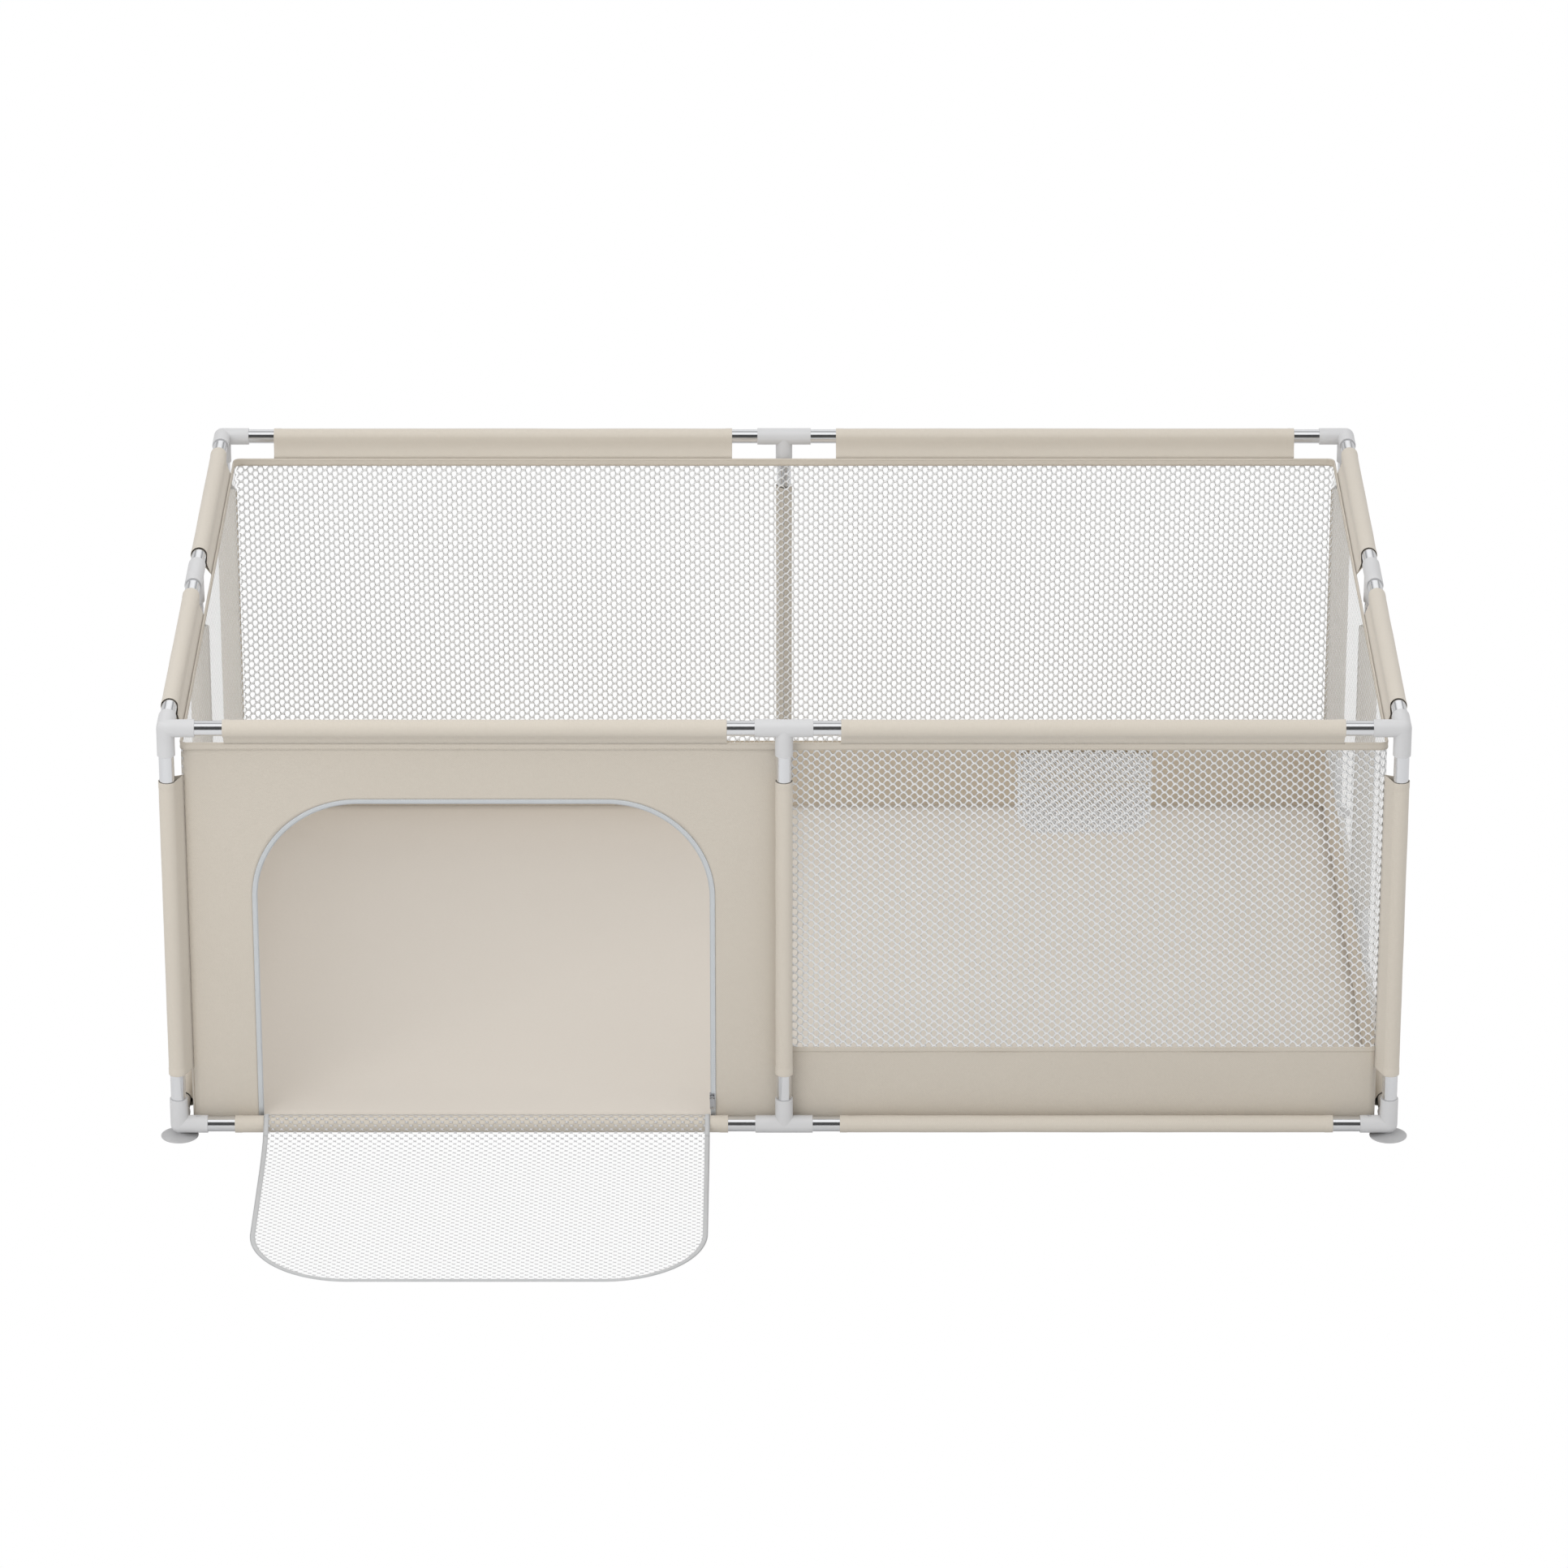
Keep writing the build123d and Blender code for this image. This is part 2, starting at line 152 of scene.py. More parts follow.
def grain(tree, spot, size, detail=2.0, stretch=(1, 1, 1)):
    """Noise whose spots are about that many millimetres across."""
    where = put(tree, VECTORS, {0: spot, 1: stretch}, operation="MULTIPLY")
    cloud = {"Vector": where, "Scale": 1 / size, "Detail": detail, "Roughness": 0.55}
    return put(tree, "ShaderNodeTexNoise", cloud)


def ribs(tree, spot, axis, length):
    """Ribs across an axis, as a sine wave from -1 to 1."""
    slant = put(tree, VECTORS, {0: spot, 1: axis}, operation="DOT_PRODUCT").outputs["Value"]
    turn = put(tree, MATHS, {0: slant, 1: 2 * pi / length}, operation="MULTIPLY")
    return put(tree, MATHS, {0: turn}, operation="SINE")


# ---------------------------------------------------------------- materials
def moulded_plastic():
    """Injection-moulded polypropylene, satin: a soft broad highlight over a very fine spark-eroded
    grain, 0.3 mm, drawn at 1.5 mm so that it shows, and a faint cloudiness from flow in the mould."""
    made, tree, bsdf, spot = material("moulded_polypropylene", IOR=1.49, Roughness=0.38)
    bsdf.inputs["Subsurface Weight"].default_value = 0.06
    bsdf.inputs["Subsurface Radius"].default_value = (0.004, 0.004, 0.004)
    surface(tree, bsdf, grain(tree, spot, 60), "CDCDCE", "D4D4D5", grain(tree, spot, 1.5), 0.10, 0.2)
    return made


def drawn_steel(name, stretch):
    """Chrome-plated steel tube: a mirror with faint draw lines along the tube, 0.2 mm apart, drawn
    0.9 mm apart so that they show."""
    made, tree, bsdf, spot = material(name, Metallic=1.0, Roughness=0.16)
    lines = grain(tree, spot, 0.9, 3, stretch)
    surface(tree, bsdf, lines, "E2E3E6", "EEEFF1", lines, 0.06, 0.05)
    return made


def soft_rubber():
    """Moulded PVC rubber of the suction feet: grey, with a slightly tacky sheen and the mould's fine
    texture, 0.3 mm, drawn at 1.1 mm so that it shows."""
    made, tree, bsdf, spot = material("moulded_pvc_rubber", IOR=1.52, Roughness=0.46)
    surface(tree, bsdf, grain(tree, spot, 9), "B2B2B3", "BCBCBD", grain(tree, spot, 1.1), 0.15, 0.15)
    return made


def woven_cloth(name, dark, light, bump=0.9):
    """Coated polyester Oxford cloth. Its threads are 0.5 mm apart, drawn 2.3 mm apart on a slant so
    that the crossed grain shows, with a slight mottle where the coating is thicker."""
    made, tree, bsdf, spot = material(name, IOR=1.5, Roughness=0.72)
    bsdf.inputs["Sheen Weight"].default_value = 0.18
    bsdf.inputs["Sheen Roughness"].default_value = 0.5
    rising, falling = (ribs(tree, spot, axis, 3.4) for axis in ((1, 1, 1.1), (1, 1, -1.1)))
    both = put(tree, MATHS, {0: rising, 1: falling}, operation="ADD")
    weave = put(tree, "ShaderNodeMapRange", {0: both, 1: -2.0, 2: 2.0})
    pebbles, mottle = grain(tree, spot, 3.2, 3), grain(tree, spot, 160)
    height = put(tree, "ShaderNodeMix", {0: 0.62, 2: weave, 3: pebbles}, data_type="FLOAT")
    tone = put(tree, "ShaderNodeMix", {0: 0.12, 2: height, 3: mottle}, data_type="FLOAT")
    surface(tree, bsdf, tone, dark, light, height, bump, 0.35)
    return made


def knitted_net(name, dark, light):
    """Warp-knitted polyester net: bright multifilament thread, matt, with the stitches' fine ribs
    1.3 mm apart along each bar."""
    made, tree, bsdf, spot = material(name, IOR=1.5, Roughness=0.62)
    bsdf.inputs["Sheen Weight"].default_value = 0.25
    bsdf.inputs["Sheen Roughness"].default_value = 0.4
    loops = grain(tree, spot, 1.3, 2, (1, 1, 0.5))
    tone = put(tree, "ShaderNodeMix", {0: 0.5, 2: loops, 3: grain(tree, spot, 45)}, data_type="FLOAT")
    surface(tree, bsdf, tone, dark, light, loops, 0.35, 0.25)
    return made


def woven_tape(name, dark, light):
    """Woven polyester zip tape: slanting ribs 1.6 mm apart, a little shinier than the cloth."""
    made, tree, bsdf, spot = material(name, IOR=1.5, Roughness=0.55)
    bsdf.inputs["Sheen Weight"].default_value = 0.15
    height = put(tree, "ShaderNodeMapRange", {0: ribs(tree, spot, (1, 1, 1), 2.2), 1: -1.0, 2: 1.0})
    tone = put(tree, "ShaderNodeMix", {0: 0.5, 2: height, 3: grain(tree, spot, 30)}, data_type="FLOAT")
    surface(tree, bsdf, tone, dark, light, height, 0.4, 0.3)
    return made


def spun_thread(name, dark, light):
    """Spun polyester thread: its plies show as a fine change of tone, 1 mm long."""
    made, tree, bsdf, spot = material(name, IOR=1.5, Roughness=0.6)
    plies = {0: grain(tree, spot, 1.0), 6: linear(dark), 7: linear(light)}
    tone = put(tree, "ShaderNodeMix", plies, data_type="RGBA")
    tree.links.new(tone.outputs[2], bsdf.inputs["Base Color"])
    return made


def cast_zinc():
    """Die-cast zinc, nickel-plated and tumbled: the zip's slider and its pull."""
    made, tree, bsdf, spot = material("nickel_plated_zinc", Metallic=1.0, Roughness=0.28)
    surface(tree, bsdf, grain(tree, spot, 3), "B9BABD", "CDCED1", grain(tree, spot, 0.8), 0.1, 0.05)
    return made


plastic = moulded_plastic()
steel = {
    "x": drawn_steel("chromed_steel_along_x", (0.02, 1, 1)),
    "y": drawn_steel("chromed_steel_along_y", (1, 0.02, 1)),
    "z": drawn_steel("chromed_steel_along_z", (1, 1, 0.02)),
}
rubber = soft_rubber()
panel_cloth = woven_cloth("oxford_cloth_panel", "C6BEB1", "D4CCC0")
skirt_cloth = woven_cloth("oxford_cloth_skirt", "C2BAAD", "D1C9BD")
# The skirt's inner face: the same Oxford cloth drawn darker and browner, as painted shade for the inside of
# the walls
skirt_inner_painted_shade = woven_cloth("oxford_cloth_inner_face_painted_shade", "C1B5A3", "CEC2B1", 0.4)
# The floor: the same cloth drawn lighter, as painted light making up for the light that the walls keep off it
floor_cloth_painted_light = woven_cloth("oxford_cloth_floor_painted_light", "CFC7BC", "D9D1C7", 0.35)
sleeve_cloth = woven_cloth("oxford_cloth_sleeve", "C9C1B4", "D6CEC2", 0.7)
wall_net = knitted_net("knitted_net_wall", "E6E7E8", "F3F4F4")
door_net = knitted_net("knitted_net_door", "C8C8C9", "D8D8D9")
pocket_net = knitted_net("knitted_net_pocket", "F0EFEE", "FAF9F8")
zip_tape = woven_tape("woven_zip_tape", "BDC1C4", "CED2D5")
hem_tape = woven_tape("woven_hem_tape", "A3937B", "B3A48D")
edge_tape = woven_tape("woven_edge_tape", "B8B9BA", "C8C9CA")
coil = spun_thread("nylon_zip_coil", "BFC4CA", "D2D6DB")
beige_thread = spun_thread("beige_sewing_thread", "B9AE9C", "D2C8B8")
white_thread = spun_thread("white_sewing_thread", "DDDFE0", "F2F3F4")
zinc = cast_zinc()


# ---------------------------------------------------------------- making pieces
def new_piece(name, points, faces, finish, body="frame", thick=0.0):
    """A mesh object at the origin, with its place in its mesh, smooth, in one material."""
    mesh = bpy.data.meshes.new(name)
    mesh.from_pydata([tuple(p) for p in points], [], faces)
    mesh.materials.append(finish)
    mesh.polygons.foreach_set("use_smooth", [True] * len(mesh.polygons))
    mesh.update()
    made = bpy.data.objects.new(name, mesh)
    bpy.context.scene.collection.objects.link(made)
    if thick:
        wall = made.modifiers.new("cloth_thickness", "SOLIDIFY")
        wall.thickness = thick
        wall.offset = 0
    if body:
        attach(made, body)
    return made


def grid_faces(rows, columns, closed=False, flip=False):
    """The faces of a grid of points, stored row by row; closed joins the last row to the first."""
    faces = []
    for i in range(rows if closed else rows - 1):
        k = (i + 1) % rows
        for j in range(columns - 1):
            quad = (i * columns + j, i * columns + j + 1, k * columns + j + 1, k * columns + j)
            faces.append(quad[::-1] if flip else quad)
    return faces


def ripple(point, size, height, seed=0.0):
    """A smooth bump of that height and about that width, in metres, at a point."""
    return height * noise.noise(Vector(point) / size + Vector((seed, seed * 1.7, seed * 0.3)))


def arc_points(center, radius, start, end, count):
    angles = [start + (end - start) * i / count for i in range(count + 1)]
    return [(center[0] + radius * cos(a), center[1] + radius * sin(a)) for a in angles]


# The walls seen from above, as one path that starts at the front's middle and runs by the right,
# the back and the left, so that outside is on its right
straight_w, straight_l, corner_run = ring_w - ring_r, ring_l - ring_r, ring_r * pi / 2
ring_runs = [straight_w, corner_run, 2 * straight_l, corner_run, 2 * straight_w, corner_run]
ring_runs += [2 * straight_l, corner_run, straight_w]
ring_marks = np.concatenate([[0], np.cumsum(ring_runs)])
ring_length = float(ring_marks[-1])


def ring_place(s):
    """(x, y) on the walls' centre line at a distance along it, and the outward normal there."""
    s = s % ring_length
    k = int(np.searchsorted(ring_marks, s, side="right")) - 1
    k = min(k, 8)
    t = s - ring_marks[k]
    headings = [0, 0, pi / 2, pi / 2, pi, pi, 3 * pi / 2, 3 * pi / 2, 2 * pi]
    starts = [
        (0, -ring_l), (straight_w, -straight_l), (ring_w, -straight_l),
        (straight_w, straight_l), (straight_w, ring_l), (-straight_w, straight_l),
        (-ring_w, straight_l), (-straight_w, -straight_l), (-straight_w, -ring_l),
    ]  # a straight's own start, or a corner's centre
    heading = headings[k]
    if k % 2:
        heading += t / ring_r
        normal = (sin(heading), -cos(heading))
        x, y = starts[k][0] + ring_r * normal[0], starts[k][1] + ring_r * normal[1]
    else:
        normal = (sin(heading), -cos(heading))
        x, y = starts[k][0] + t * cos(heading), starts[k][1] + t * sin(heading)
    return x, y + ring_y, normal


def ring_stations(start, end, step):
    """Distances along the ring, evenly spaced on the straights and closer round the corners."""
    stops = [start] + [m for m in ring_marks if start + HAIR < m < end - HAIR] + [end]
    out = [start]
    for a, b in zip(stops, stops[1:]):
        turning = b - a < corner_run + HAIR
        count = max(1, round((b - a) / (2 * MM if turning else step)))
        out += [a + (b - a) * i / count for i in range(1, count + 1)]
    return out


def ring_band(name, start, end, heights, step, finish, thick, wave=0.0, relief_at=None):
    """A cloth band along the walls: a grid of heights by stations, with a slight ripple, and its
    hem's relief at some of the heights."""
    stations = ring_stations(start, end, step)
    points = []
    for z in heights:
        ease = min(1, (z - heights[0]) / 0.03, (heights[-1] - z) / 0.012) if wave else 0
        for s in stations:
            x, y, normal = ring_place(s)
            push = (relief_at or {}).get(round(z, 6), 0)
            push += ripple((x, y, z * 2.2), 0.11, wave * ease, 3.1) if ease > 0 else 0
            points.append((x + normal[0] * push, y + normal[1] * push, z))
    faces = grid_faces(len(heights), len(stations), flip=True)
    return new_piece(name, points, faces, finish, thick=thick)


def line_object(points, cyclic=False):
    """A short-lived curve through points, for the node trees to follow."""
    curve = bpy.data.curves.new("path", "CURVE")
    curve.dimensions = "3D"
    spline = curve.splines.new("POLY")
    spline.points.add(len(points) - 1)
    spline.points.foreach_set("co", [c for p in points for c in (*p, 1)])
    spline.use_cyclic_u = cyclic
    made = bpy.data.objects.new("path", curve)
    bpy.context.scene.collection.objects.link(made)
    return made


def new_tree(name, kinds):
    """A geometry node tree whose inputs are given as names by kind, and those inputs' sockets."""
    tree = bpy.data.node_groups.new(name, "GeometryNodeTree")
    for kind, labels in {"Geometry": ("Geometry",), **kinds}.items():
        for label in labels:
            tree.interface.new_socket(label, in_out="INPUT", socket_type="NodeSocket" + kind)
    tree.interface.new_socket("Geometry", in_out="OUTPUT", socket_type="NodeSocketGeometry")
    return tree, put(tree, "NodeGroupInput").outputs


def run_tree(tree, name, inputs, body="frame"):
    """Runs a tree with its inputs set, and keeps the result as a plain mesh."""
    carrier = bpy.data.objects.new("carrier", bpy.data.meshes.new("carrier"))
    bpy.context.scene.collection.objects.link(carrier)
    modifier = carrier.modifiers.new("nodes", "NODES")
    modifier.node_group = tree
    sockets = {s.name: s.identifier for s in tree.interface.items_tree if s.in_out == "INPUT"}
    for key, value in inputs.items():
        modifier[sockets[key]] = value
    graph = bpy.context.evaluated_depsgraph_get()
    mesh = bpy.data.meshes.new_from_object(carrier.evaluated_get(graph))
    mesh.name = name
    mesh.polygons.foreach_set("use_smooth", [True] * len(mesh.polygons))
    made = bpy.data.objects.new(name, mesh)
    bpy.context.scene.collection.objects.link(made)
    bpy.data.objects.remove(carrier)
    for value in inputs.values():
        if isinstance(value, bpy.types.Object) and value.type == "CURVE":
            bpy.data.objects.remove(value)
    if body:
        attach(made, body)
    return made


def row_tree():
    """Sets one small shape at even steps along a path, turned to the path and facing one way:
    stitches and zip coils."""
    kinds = {"Object": ("Path", "Shape"), "Float": ("Step",), "Vector": ("Facing",), "Material": ("Finish",)}
    tree, given = new_tree("row_along_path", kinds)
    path = put(tree, "GeometryNodeObjectInfo", {"Object": given["Path"]}).outputs["Geometry"]
    even = put(tree, "GeometryNodeResampleCurve", {"Curve": path, "Length": given["Step"]}, mode="LENGTH")
    spots = put(tree, "GeometryNodeCurveToPoints", {"Curve": even}, mode="EVALUATED").outputs
    turn = "FunctionNodeAlignRotationToVector"
    along = put(tree, turn, {"Vector": spots["Tangent"]}, axis="X")
    facing = put(tree, turn, {"Rotation": along, "Vector": given["Facing"]}, axis="Z", pivot_axis="X")
    shape = put(tree, "GeometryNodeObjectInfo", {"Object": given["Shape"]}).outputs["Geometry"]
    each = {"Points": spots["Points"], "Instance": shape, "Rotation": facing}
    placed = put(tree, "GeometryNodeInstanceOnPoints", each)
    real = put(tree, "GeometryNodeRealizeInstances", {0: placed})
    done = put(tree, "GeometryNodeSetMaterial", {"Geometry": real, "Material": given["Finish"]})
    put(tree, "NodeGroupOutput", {0: done})
    return tree


def net_tree():
    """A knitted net: one cell set on two interleaved grids, welded, trimmed to a strip with two
    round corners, and laid along a path. X of the strip runs along the path on a wall, and Y does
    on the door."""
    kinds = {
        "Object": ("Cell", "Path"),
        "Float": (
            "Pitch X", "Pitch Y", "Half Width", "Bottom", "Top", "From", "To", "Corner",
            "Path Start", "Cross Start",
        ),
        "Int": ("Columns", "Rows"),
        "Vector": ("Shift", "Cross"),
        "Bool": ("Along Y",),
        "Material": ("Finish",),
    }
    tree, given = new_tree("knitted_net", kinds)
    pitch_x, pitch_y, corner, cross = (given[k] for k in ("Pitch X", "Pitch Y", "Corner", "Cross"))

    # Hole centres on two grids, half a pitch apart both ways
    gaps_x = put(tree, MATHS, {0: given["Columns"], 1: 1.0}, operation="SUBTRACT")
    gaps_y = put(tree, MATHS, {0: given["Rows"], 1: 1.0}, operation="SUBTRACT")
    size = {
        "Size X": put(tree, MATHS, {0: gaps_x, 1: pitch_x}, operation="MULTIPLY"),
        "Size Y": put(tree, MATHS, {0: gaps_y, 1: pitch_y}, operation="MULTIPLY"),
        "Vertices X": given["Columns"], "Vertices Y": given["Rows"],
    }
    lattice = put(tree, "GeometryNodeMeshGrid", size)
    half_x = put(tree, MATHS, {0: pitch_x, 1: 0.5}, operation="MULTIPLY")
    half_y = put(tree, MATHS, {0: pitch_y, 1: 0.5}, operation="MULTIPLY")
    half_step = put(tree, "ShaderNodeCombineXYZ", {0: half_x, 1: half_y})
    between = put(tree, "GeometryNodeTransform", {"Geometry": lattice, "Translation": half_step})
    both = put(tree, "GeometryNodeJoinGeometry")
    for grid in (lattice, between):
        tree.links.new(grid.outputs[0], both.inputs[0])
    centres = put(tree, "GeometryNodeTransform", {"Geometry": both, "Translation": given["Shift"]})

    # How far a point lies past the strip's straight part, sideways and upwards
    spot = put(tree, "GeometryNodeInputPosition")
    at = put(tree, "ShaderNodeSeparateXYZ", {0: spot}).outputs
    wide = put(tree, MATHS, {0: at[0]}, operation="ABSOLUTE")
    y = put(tree, MATHS, {0: at[1], 1: given["Bottom"]}, operation="MAXIMUM")
    inner_w = put(tree, MATHS, {0: given["Half Width"], 1: corner}, operation="SUBTRACT")
    inner_top = put(tree, MATHS, {0: given["Top"], 1: corner}, operation="SUBTRACT")
    past_x = put(tree, MATHS, {0: wide, 1: inner_w}, operation="SUBTRACT")
    past_y = put(tree, MATHS, {0: y, 1: inner_top}, operation="SUBTRACT")
    over_x = put(tree, MATHS, {0: past_x, 1: 0.0}, operation="MAXIMUM")
    over_y = put(tree, MATHS, {0: past_y, 1: 0.0}, operation="MAXIMUM")
    square_x = put(tree, MATHS, {0: over_x, 1: 2.0}, operation="POWER")
    square_y = put(tree, MATHS, {0: over_y, 1: 2.0}, operation="POWER")
    squares = put(tree, MATHS, {0: square_x, 1: square_y}, operation="ADD")
    reach = put(tree, MATHS, {0: squares}, operation="SQRT")

    # Only holes on this piece of the net, and those just past its outline
    beyond = put(tree, MATHS, {0: reach, 1: corner}, operation="SUBTRACT")
    far = put(tree, MATHS, {0: beyond, 1: pitch_x}, operation="GREATER_THAN")
    below = put(tree, MATHS, {0: at[1], 1: given["From"]}, operation="LESS_THAN")
    ceiling = put(tree, MATHS, {0: given["To"], 1: HAIR}, operation="SUBTRACT")
    above = put(tree, MATHS, {0: at[1], 1: ceiling}, operation="GREATER_THAN")
    far_or_below = put(tree, MATHS, {0: far, 1: below}, operation="ADD")
    any_way = put(tree, MATHS, {0: far_or_below, 1: above}, operation="ADD")
    outside = put(tree, MATHS, {0: any_way, 1: 0.5}, operation="GREATER_THAN")
    others = {"Geometry": centres, "Selection": outside}
    kept = put(tree, "GeometryNodeDeleteGeometry", others, domain="POINT")

    cell = put(tree, "GeometryNodeObjectInfo", {"Object": given["Cell"]}).outputs["Geometry"]
    placed = put(tree, "GeometryNodeInstanceOnPoints", {"Points": kept, "Instance": cell})
    real = put(tree, "GeometryNodeRealizeInstances", {0: placed})
    welded = put(tree, "GeometryNodeMergeByDistance", {"Geometry": real, "Distance": WELD})

    # Trim: what reaches past the outline is drawn back to it, and every open end is pressed flat
    least = put(tree, MATHS, {0: reach, 1: HAIR}, operation="MAXIMUM")
    share = put(tree, MATHS, {0: corner, 1: least}, operation="DIVIDE")
    pull = put(tree, MATHS, {0: share, 1: 1.0}, operation="MINIMUM")
    held_x = put(tree, MATHS, {0: wide, 1: inner_w}, operation="MINIMUM")
    held_y = put(tree, MATHS, {0: y, 1: inner_top}, operation="MINIMUM")
    round_x = put(tree, MATHS, {0: over_x, 1: pull}, operation="MULTIPLY")
    round_y = put(tree, MATHS, {0: over_y, 1: pull}, operation="MULTIPLY")
    new_wide = put(tree, MATHS, {0: held_x, 1: round_x}, operation="ADD")
    new_y = put(tree, MATHS, {0: held_y, 1: round_y}, operation="ADD")
    side = put(tree, MATHS, {0: at[0]}, operation="SIGN")
    new_x = put(tree, MATHS, {0: side, 1: new_wide}, operation="MULTIPLY")
    new_spot = put(tree, "ShaderNodeCombineXYZ", {0: new_x, 1: new_y})
    old_spot = put(tree, "ShaderNodeCombineXYZ", {0: at[0], 1: at[1]})
    gone = put(tree, VECTORS, {0: new_spot, 1: old_spot}, operation="DISTANCE").outputs["Value"]
    cut_off = put(tree, MATHS, {0: gone, 1: HAIR}, operation="GREATER_THAN")
    all_cut = put(tree, ON_DOMAIN, {"Value": cut_off}, data_type="BOOLEAN", domain="POINT")
    waste = {"Geometry": welded, "Selection": all_cut}
    trim = put(tree, "GeometryNodeDeleteGeometry", waste, domain="FACE")
    stays = put(tree, MATHS, {0: 1.0, 1: cut_off}, operation="SUBTRACT")
    new_z = put(tree, MATHS, {0: at[2], 1: stays}, operation="MULTIPLY")
    inside = put(tree, "ShaderNodeCombineXYZ", {0: new_x, 1: new_y, 2: new_z})
    drawn = put(tree, SET_POSITION, {"Geometry": trim, "Position": inside})
    beside = put(tree, "GeometryNodeInputMeshEdgeNeighbors")
    alone = put(tree, MATHS, {0: beside, 1: 1.5}, operation="LESS_THAN")
    open_end = put(tree, ON_DOMAIN, {"Value": alone}, data_type="BOOLEAN", domain="EDGE")
    flat = put(tree, VECTORS, {0: spot, 1: (1, 1, 0)}, operation="MULTIPLY")
    pressed = put(tree, SET_POSITION, {"Geometry": drawn, "Selection": open_end, "Position": flat})
    closed = put(tree, "GeometryNodeMergeByDistance", {"Geometry": pressed, "Distance": WELD})

    # Lay it along the path
    test = given["Along Y"]
    run = put(tree, SWITCH, {"Switch": test, "False": at[0], "True": at[1]}, input_type="FLOAT")
    across = put(tree, SWITCH, {"Switch": test, "False": at[1], "True": at[0]}, input_type="FLOAT")
    length = put(tree, MATHS, {0: run, 1: given["Path Start"]}, operation="ADD")
    width = put(tree, MATHS, {0: across, 1: given["Cross Start"]}, operation="ADD")
    path = put(tree, "GeometryNodeObjectInfo", {"Object": given["Path"]}).outputs["Geometry"]
    along = {"Curves": path, "Length": length}
    sample = put(tree, "GeometryNodeSampleCurve", along, mode="LENGTH").outputs
    on_wall = put(tree, VECTORS, {0: sample["Tangent"], 1: cross}, operation="CROSS_PRODUCT")
    on_door = put(tree, VECTORS, {0: cross, 1: sample["Tangent"]}, operation="CROSS_PRODUCT")
    normal = put(tree, SWITCH, {"Switch": test, "False": on_wall, "True": on_door}, input_type="VECTOR")
    aside = put(tree, VECTORS, {0: cross, "Scale": width}, operation="SCALE")
    lift = put(tree, VECTORS, {0: normal, "Scale": at[2]}, operation="SCALE")
    base = put(tree, VECTORS, {0: sample["Position"], 1: aside}, operation="ADD")
    place = put(tree, VECTORS, {0: base, 1: lift}, operation="ADD")
    laid = put(tree, SET_POSITION, {"Geometry": closed, "Position": place})
    done = put(tree, "GeometryNodeSetMaterial", {"Geometry": laid, "Material": given["Finish"]})
    put(tree, "NodeGroupOutput", {0: done})
    return tree


def net_sheet(made):
    shell = bmesh.new()
    shell.from_mesh(made.data)
    for _ in range(6):
        slivers = {e.link_faces[0] for e in shell.edges if e.is_boundary}
        if not slivers:
            break
        bmesh.ops.delete(shell, geom=list(slivers), context="FACES")
    shell.to_mesh(made.data)
    shell.free()


def helper(name, points, faces):
    """A small shape for the node trees to repeat. It's removed at the end."""
    mesh = bpy.data.meshes.new(name)
    mesh.from_pydata(points, [], faces)
    made = bpy.data.objects.new(name, mesh)
    bpy.context.scene.collection.objects.link(made)
    made.hide_render = True
    helpers.append(made)
    return made


helpers = []


def net_cell(name, hole, pitch_x, pitch_y, height, ridge):
    """One hole of a net with the bars to its right: 8 rim points, and rounded bars that are highest
    on a ridge line, nearer to the arched top of the hole below it."""
    hole = [Vector((x * MM, y * MM, 0)) for x, y in hole]
    right, up = Vector((pitch_x, 0, 0)), Vector((pitch_x / 2, pitch_y / 2, 0))
    down = Vector((pitch_x / 2, -pitch_y / 2, 0))
    h = {
        "0": hole[0], "1": hole[1], "2": hole[2], "7": hole[7],
        "n5": hole[5] + up, "n6": hole[6] + up, "n7": hole[7] + up,
        "m2": hole[2] + down, "m3": hole[3] + down, "m4": hole[4] + down,
        "r4": hole[4] + right, "r5": hole[5] + right,
    }
    # Ridge points, each on a line between two holes
    ridges = {
        "ua": h["1"].lerp(h["n6"], ridge), "ub": h["2"].lerp(h["n5"], ridge),
        "da": h["m3"].lerp(h["0"], ridge), "db": h["m4"].lerp(h["7"], ridge),
        "c": right / 2,
        "ra": h["r4"].lerp(h["n7"], ridge), "rb": h["m2"].lerp(h["r5"], ridge),
    }
    names = list(h) + [k + "+" for k in ridges] + [k + "-" for k in ridges]
    points = [tuple(p) for p in h.values()]
    points += [(p.x, p.y, height) for p in ridges.values()]
    points += [(p.x, p.y, -height) for p in ridges.values()]
    index = {n: i for i, n in enumerate(names)}
    upper = [
        ("1", "ua+", "ub+", "2"), ("ua+", "n6", "n5", "ub+"),
        ("m3", "da+", "db+", "m4"), ("da+", "0", "7", "db+"),
    ]
    # The junction: a fan from its centre through the eight rim points and the four ridge points
    ringed = ["1", "0", "da+", "m3", "m2", "rb+", "r5", "r4", "ra+", "n7", "n6", "ua+"]
    faces = [tuple(index[n] for n in f) for f in upper]
    faces += [(index["c+"], index[a], index[b]) for a, b in zip(ringed, ringed[1:] + ringed[:1])]
    lower = [tuple(index[names[i].replace("+", "-")] for i in f[::-1]) for f in faces]
    return helper(name, points, faces + lower)


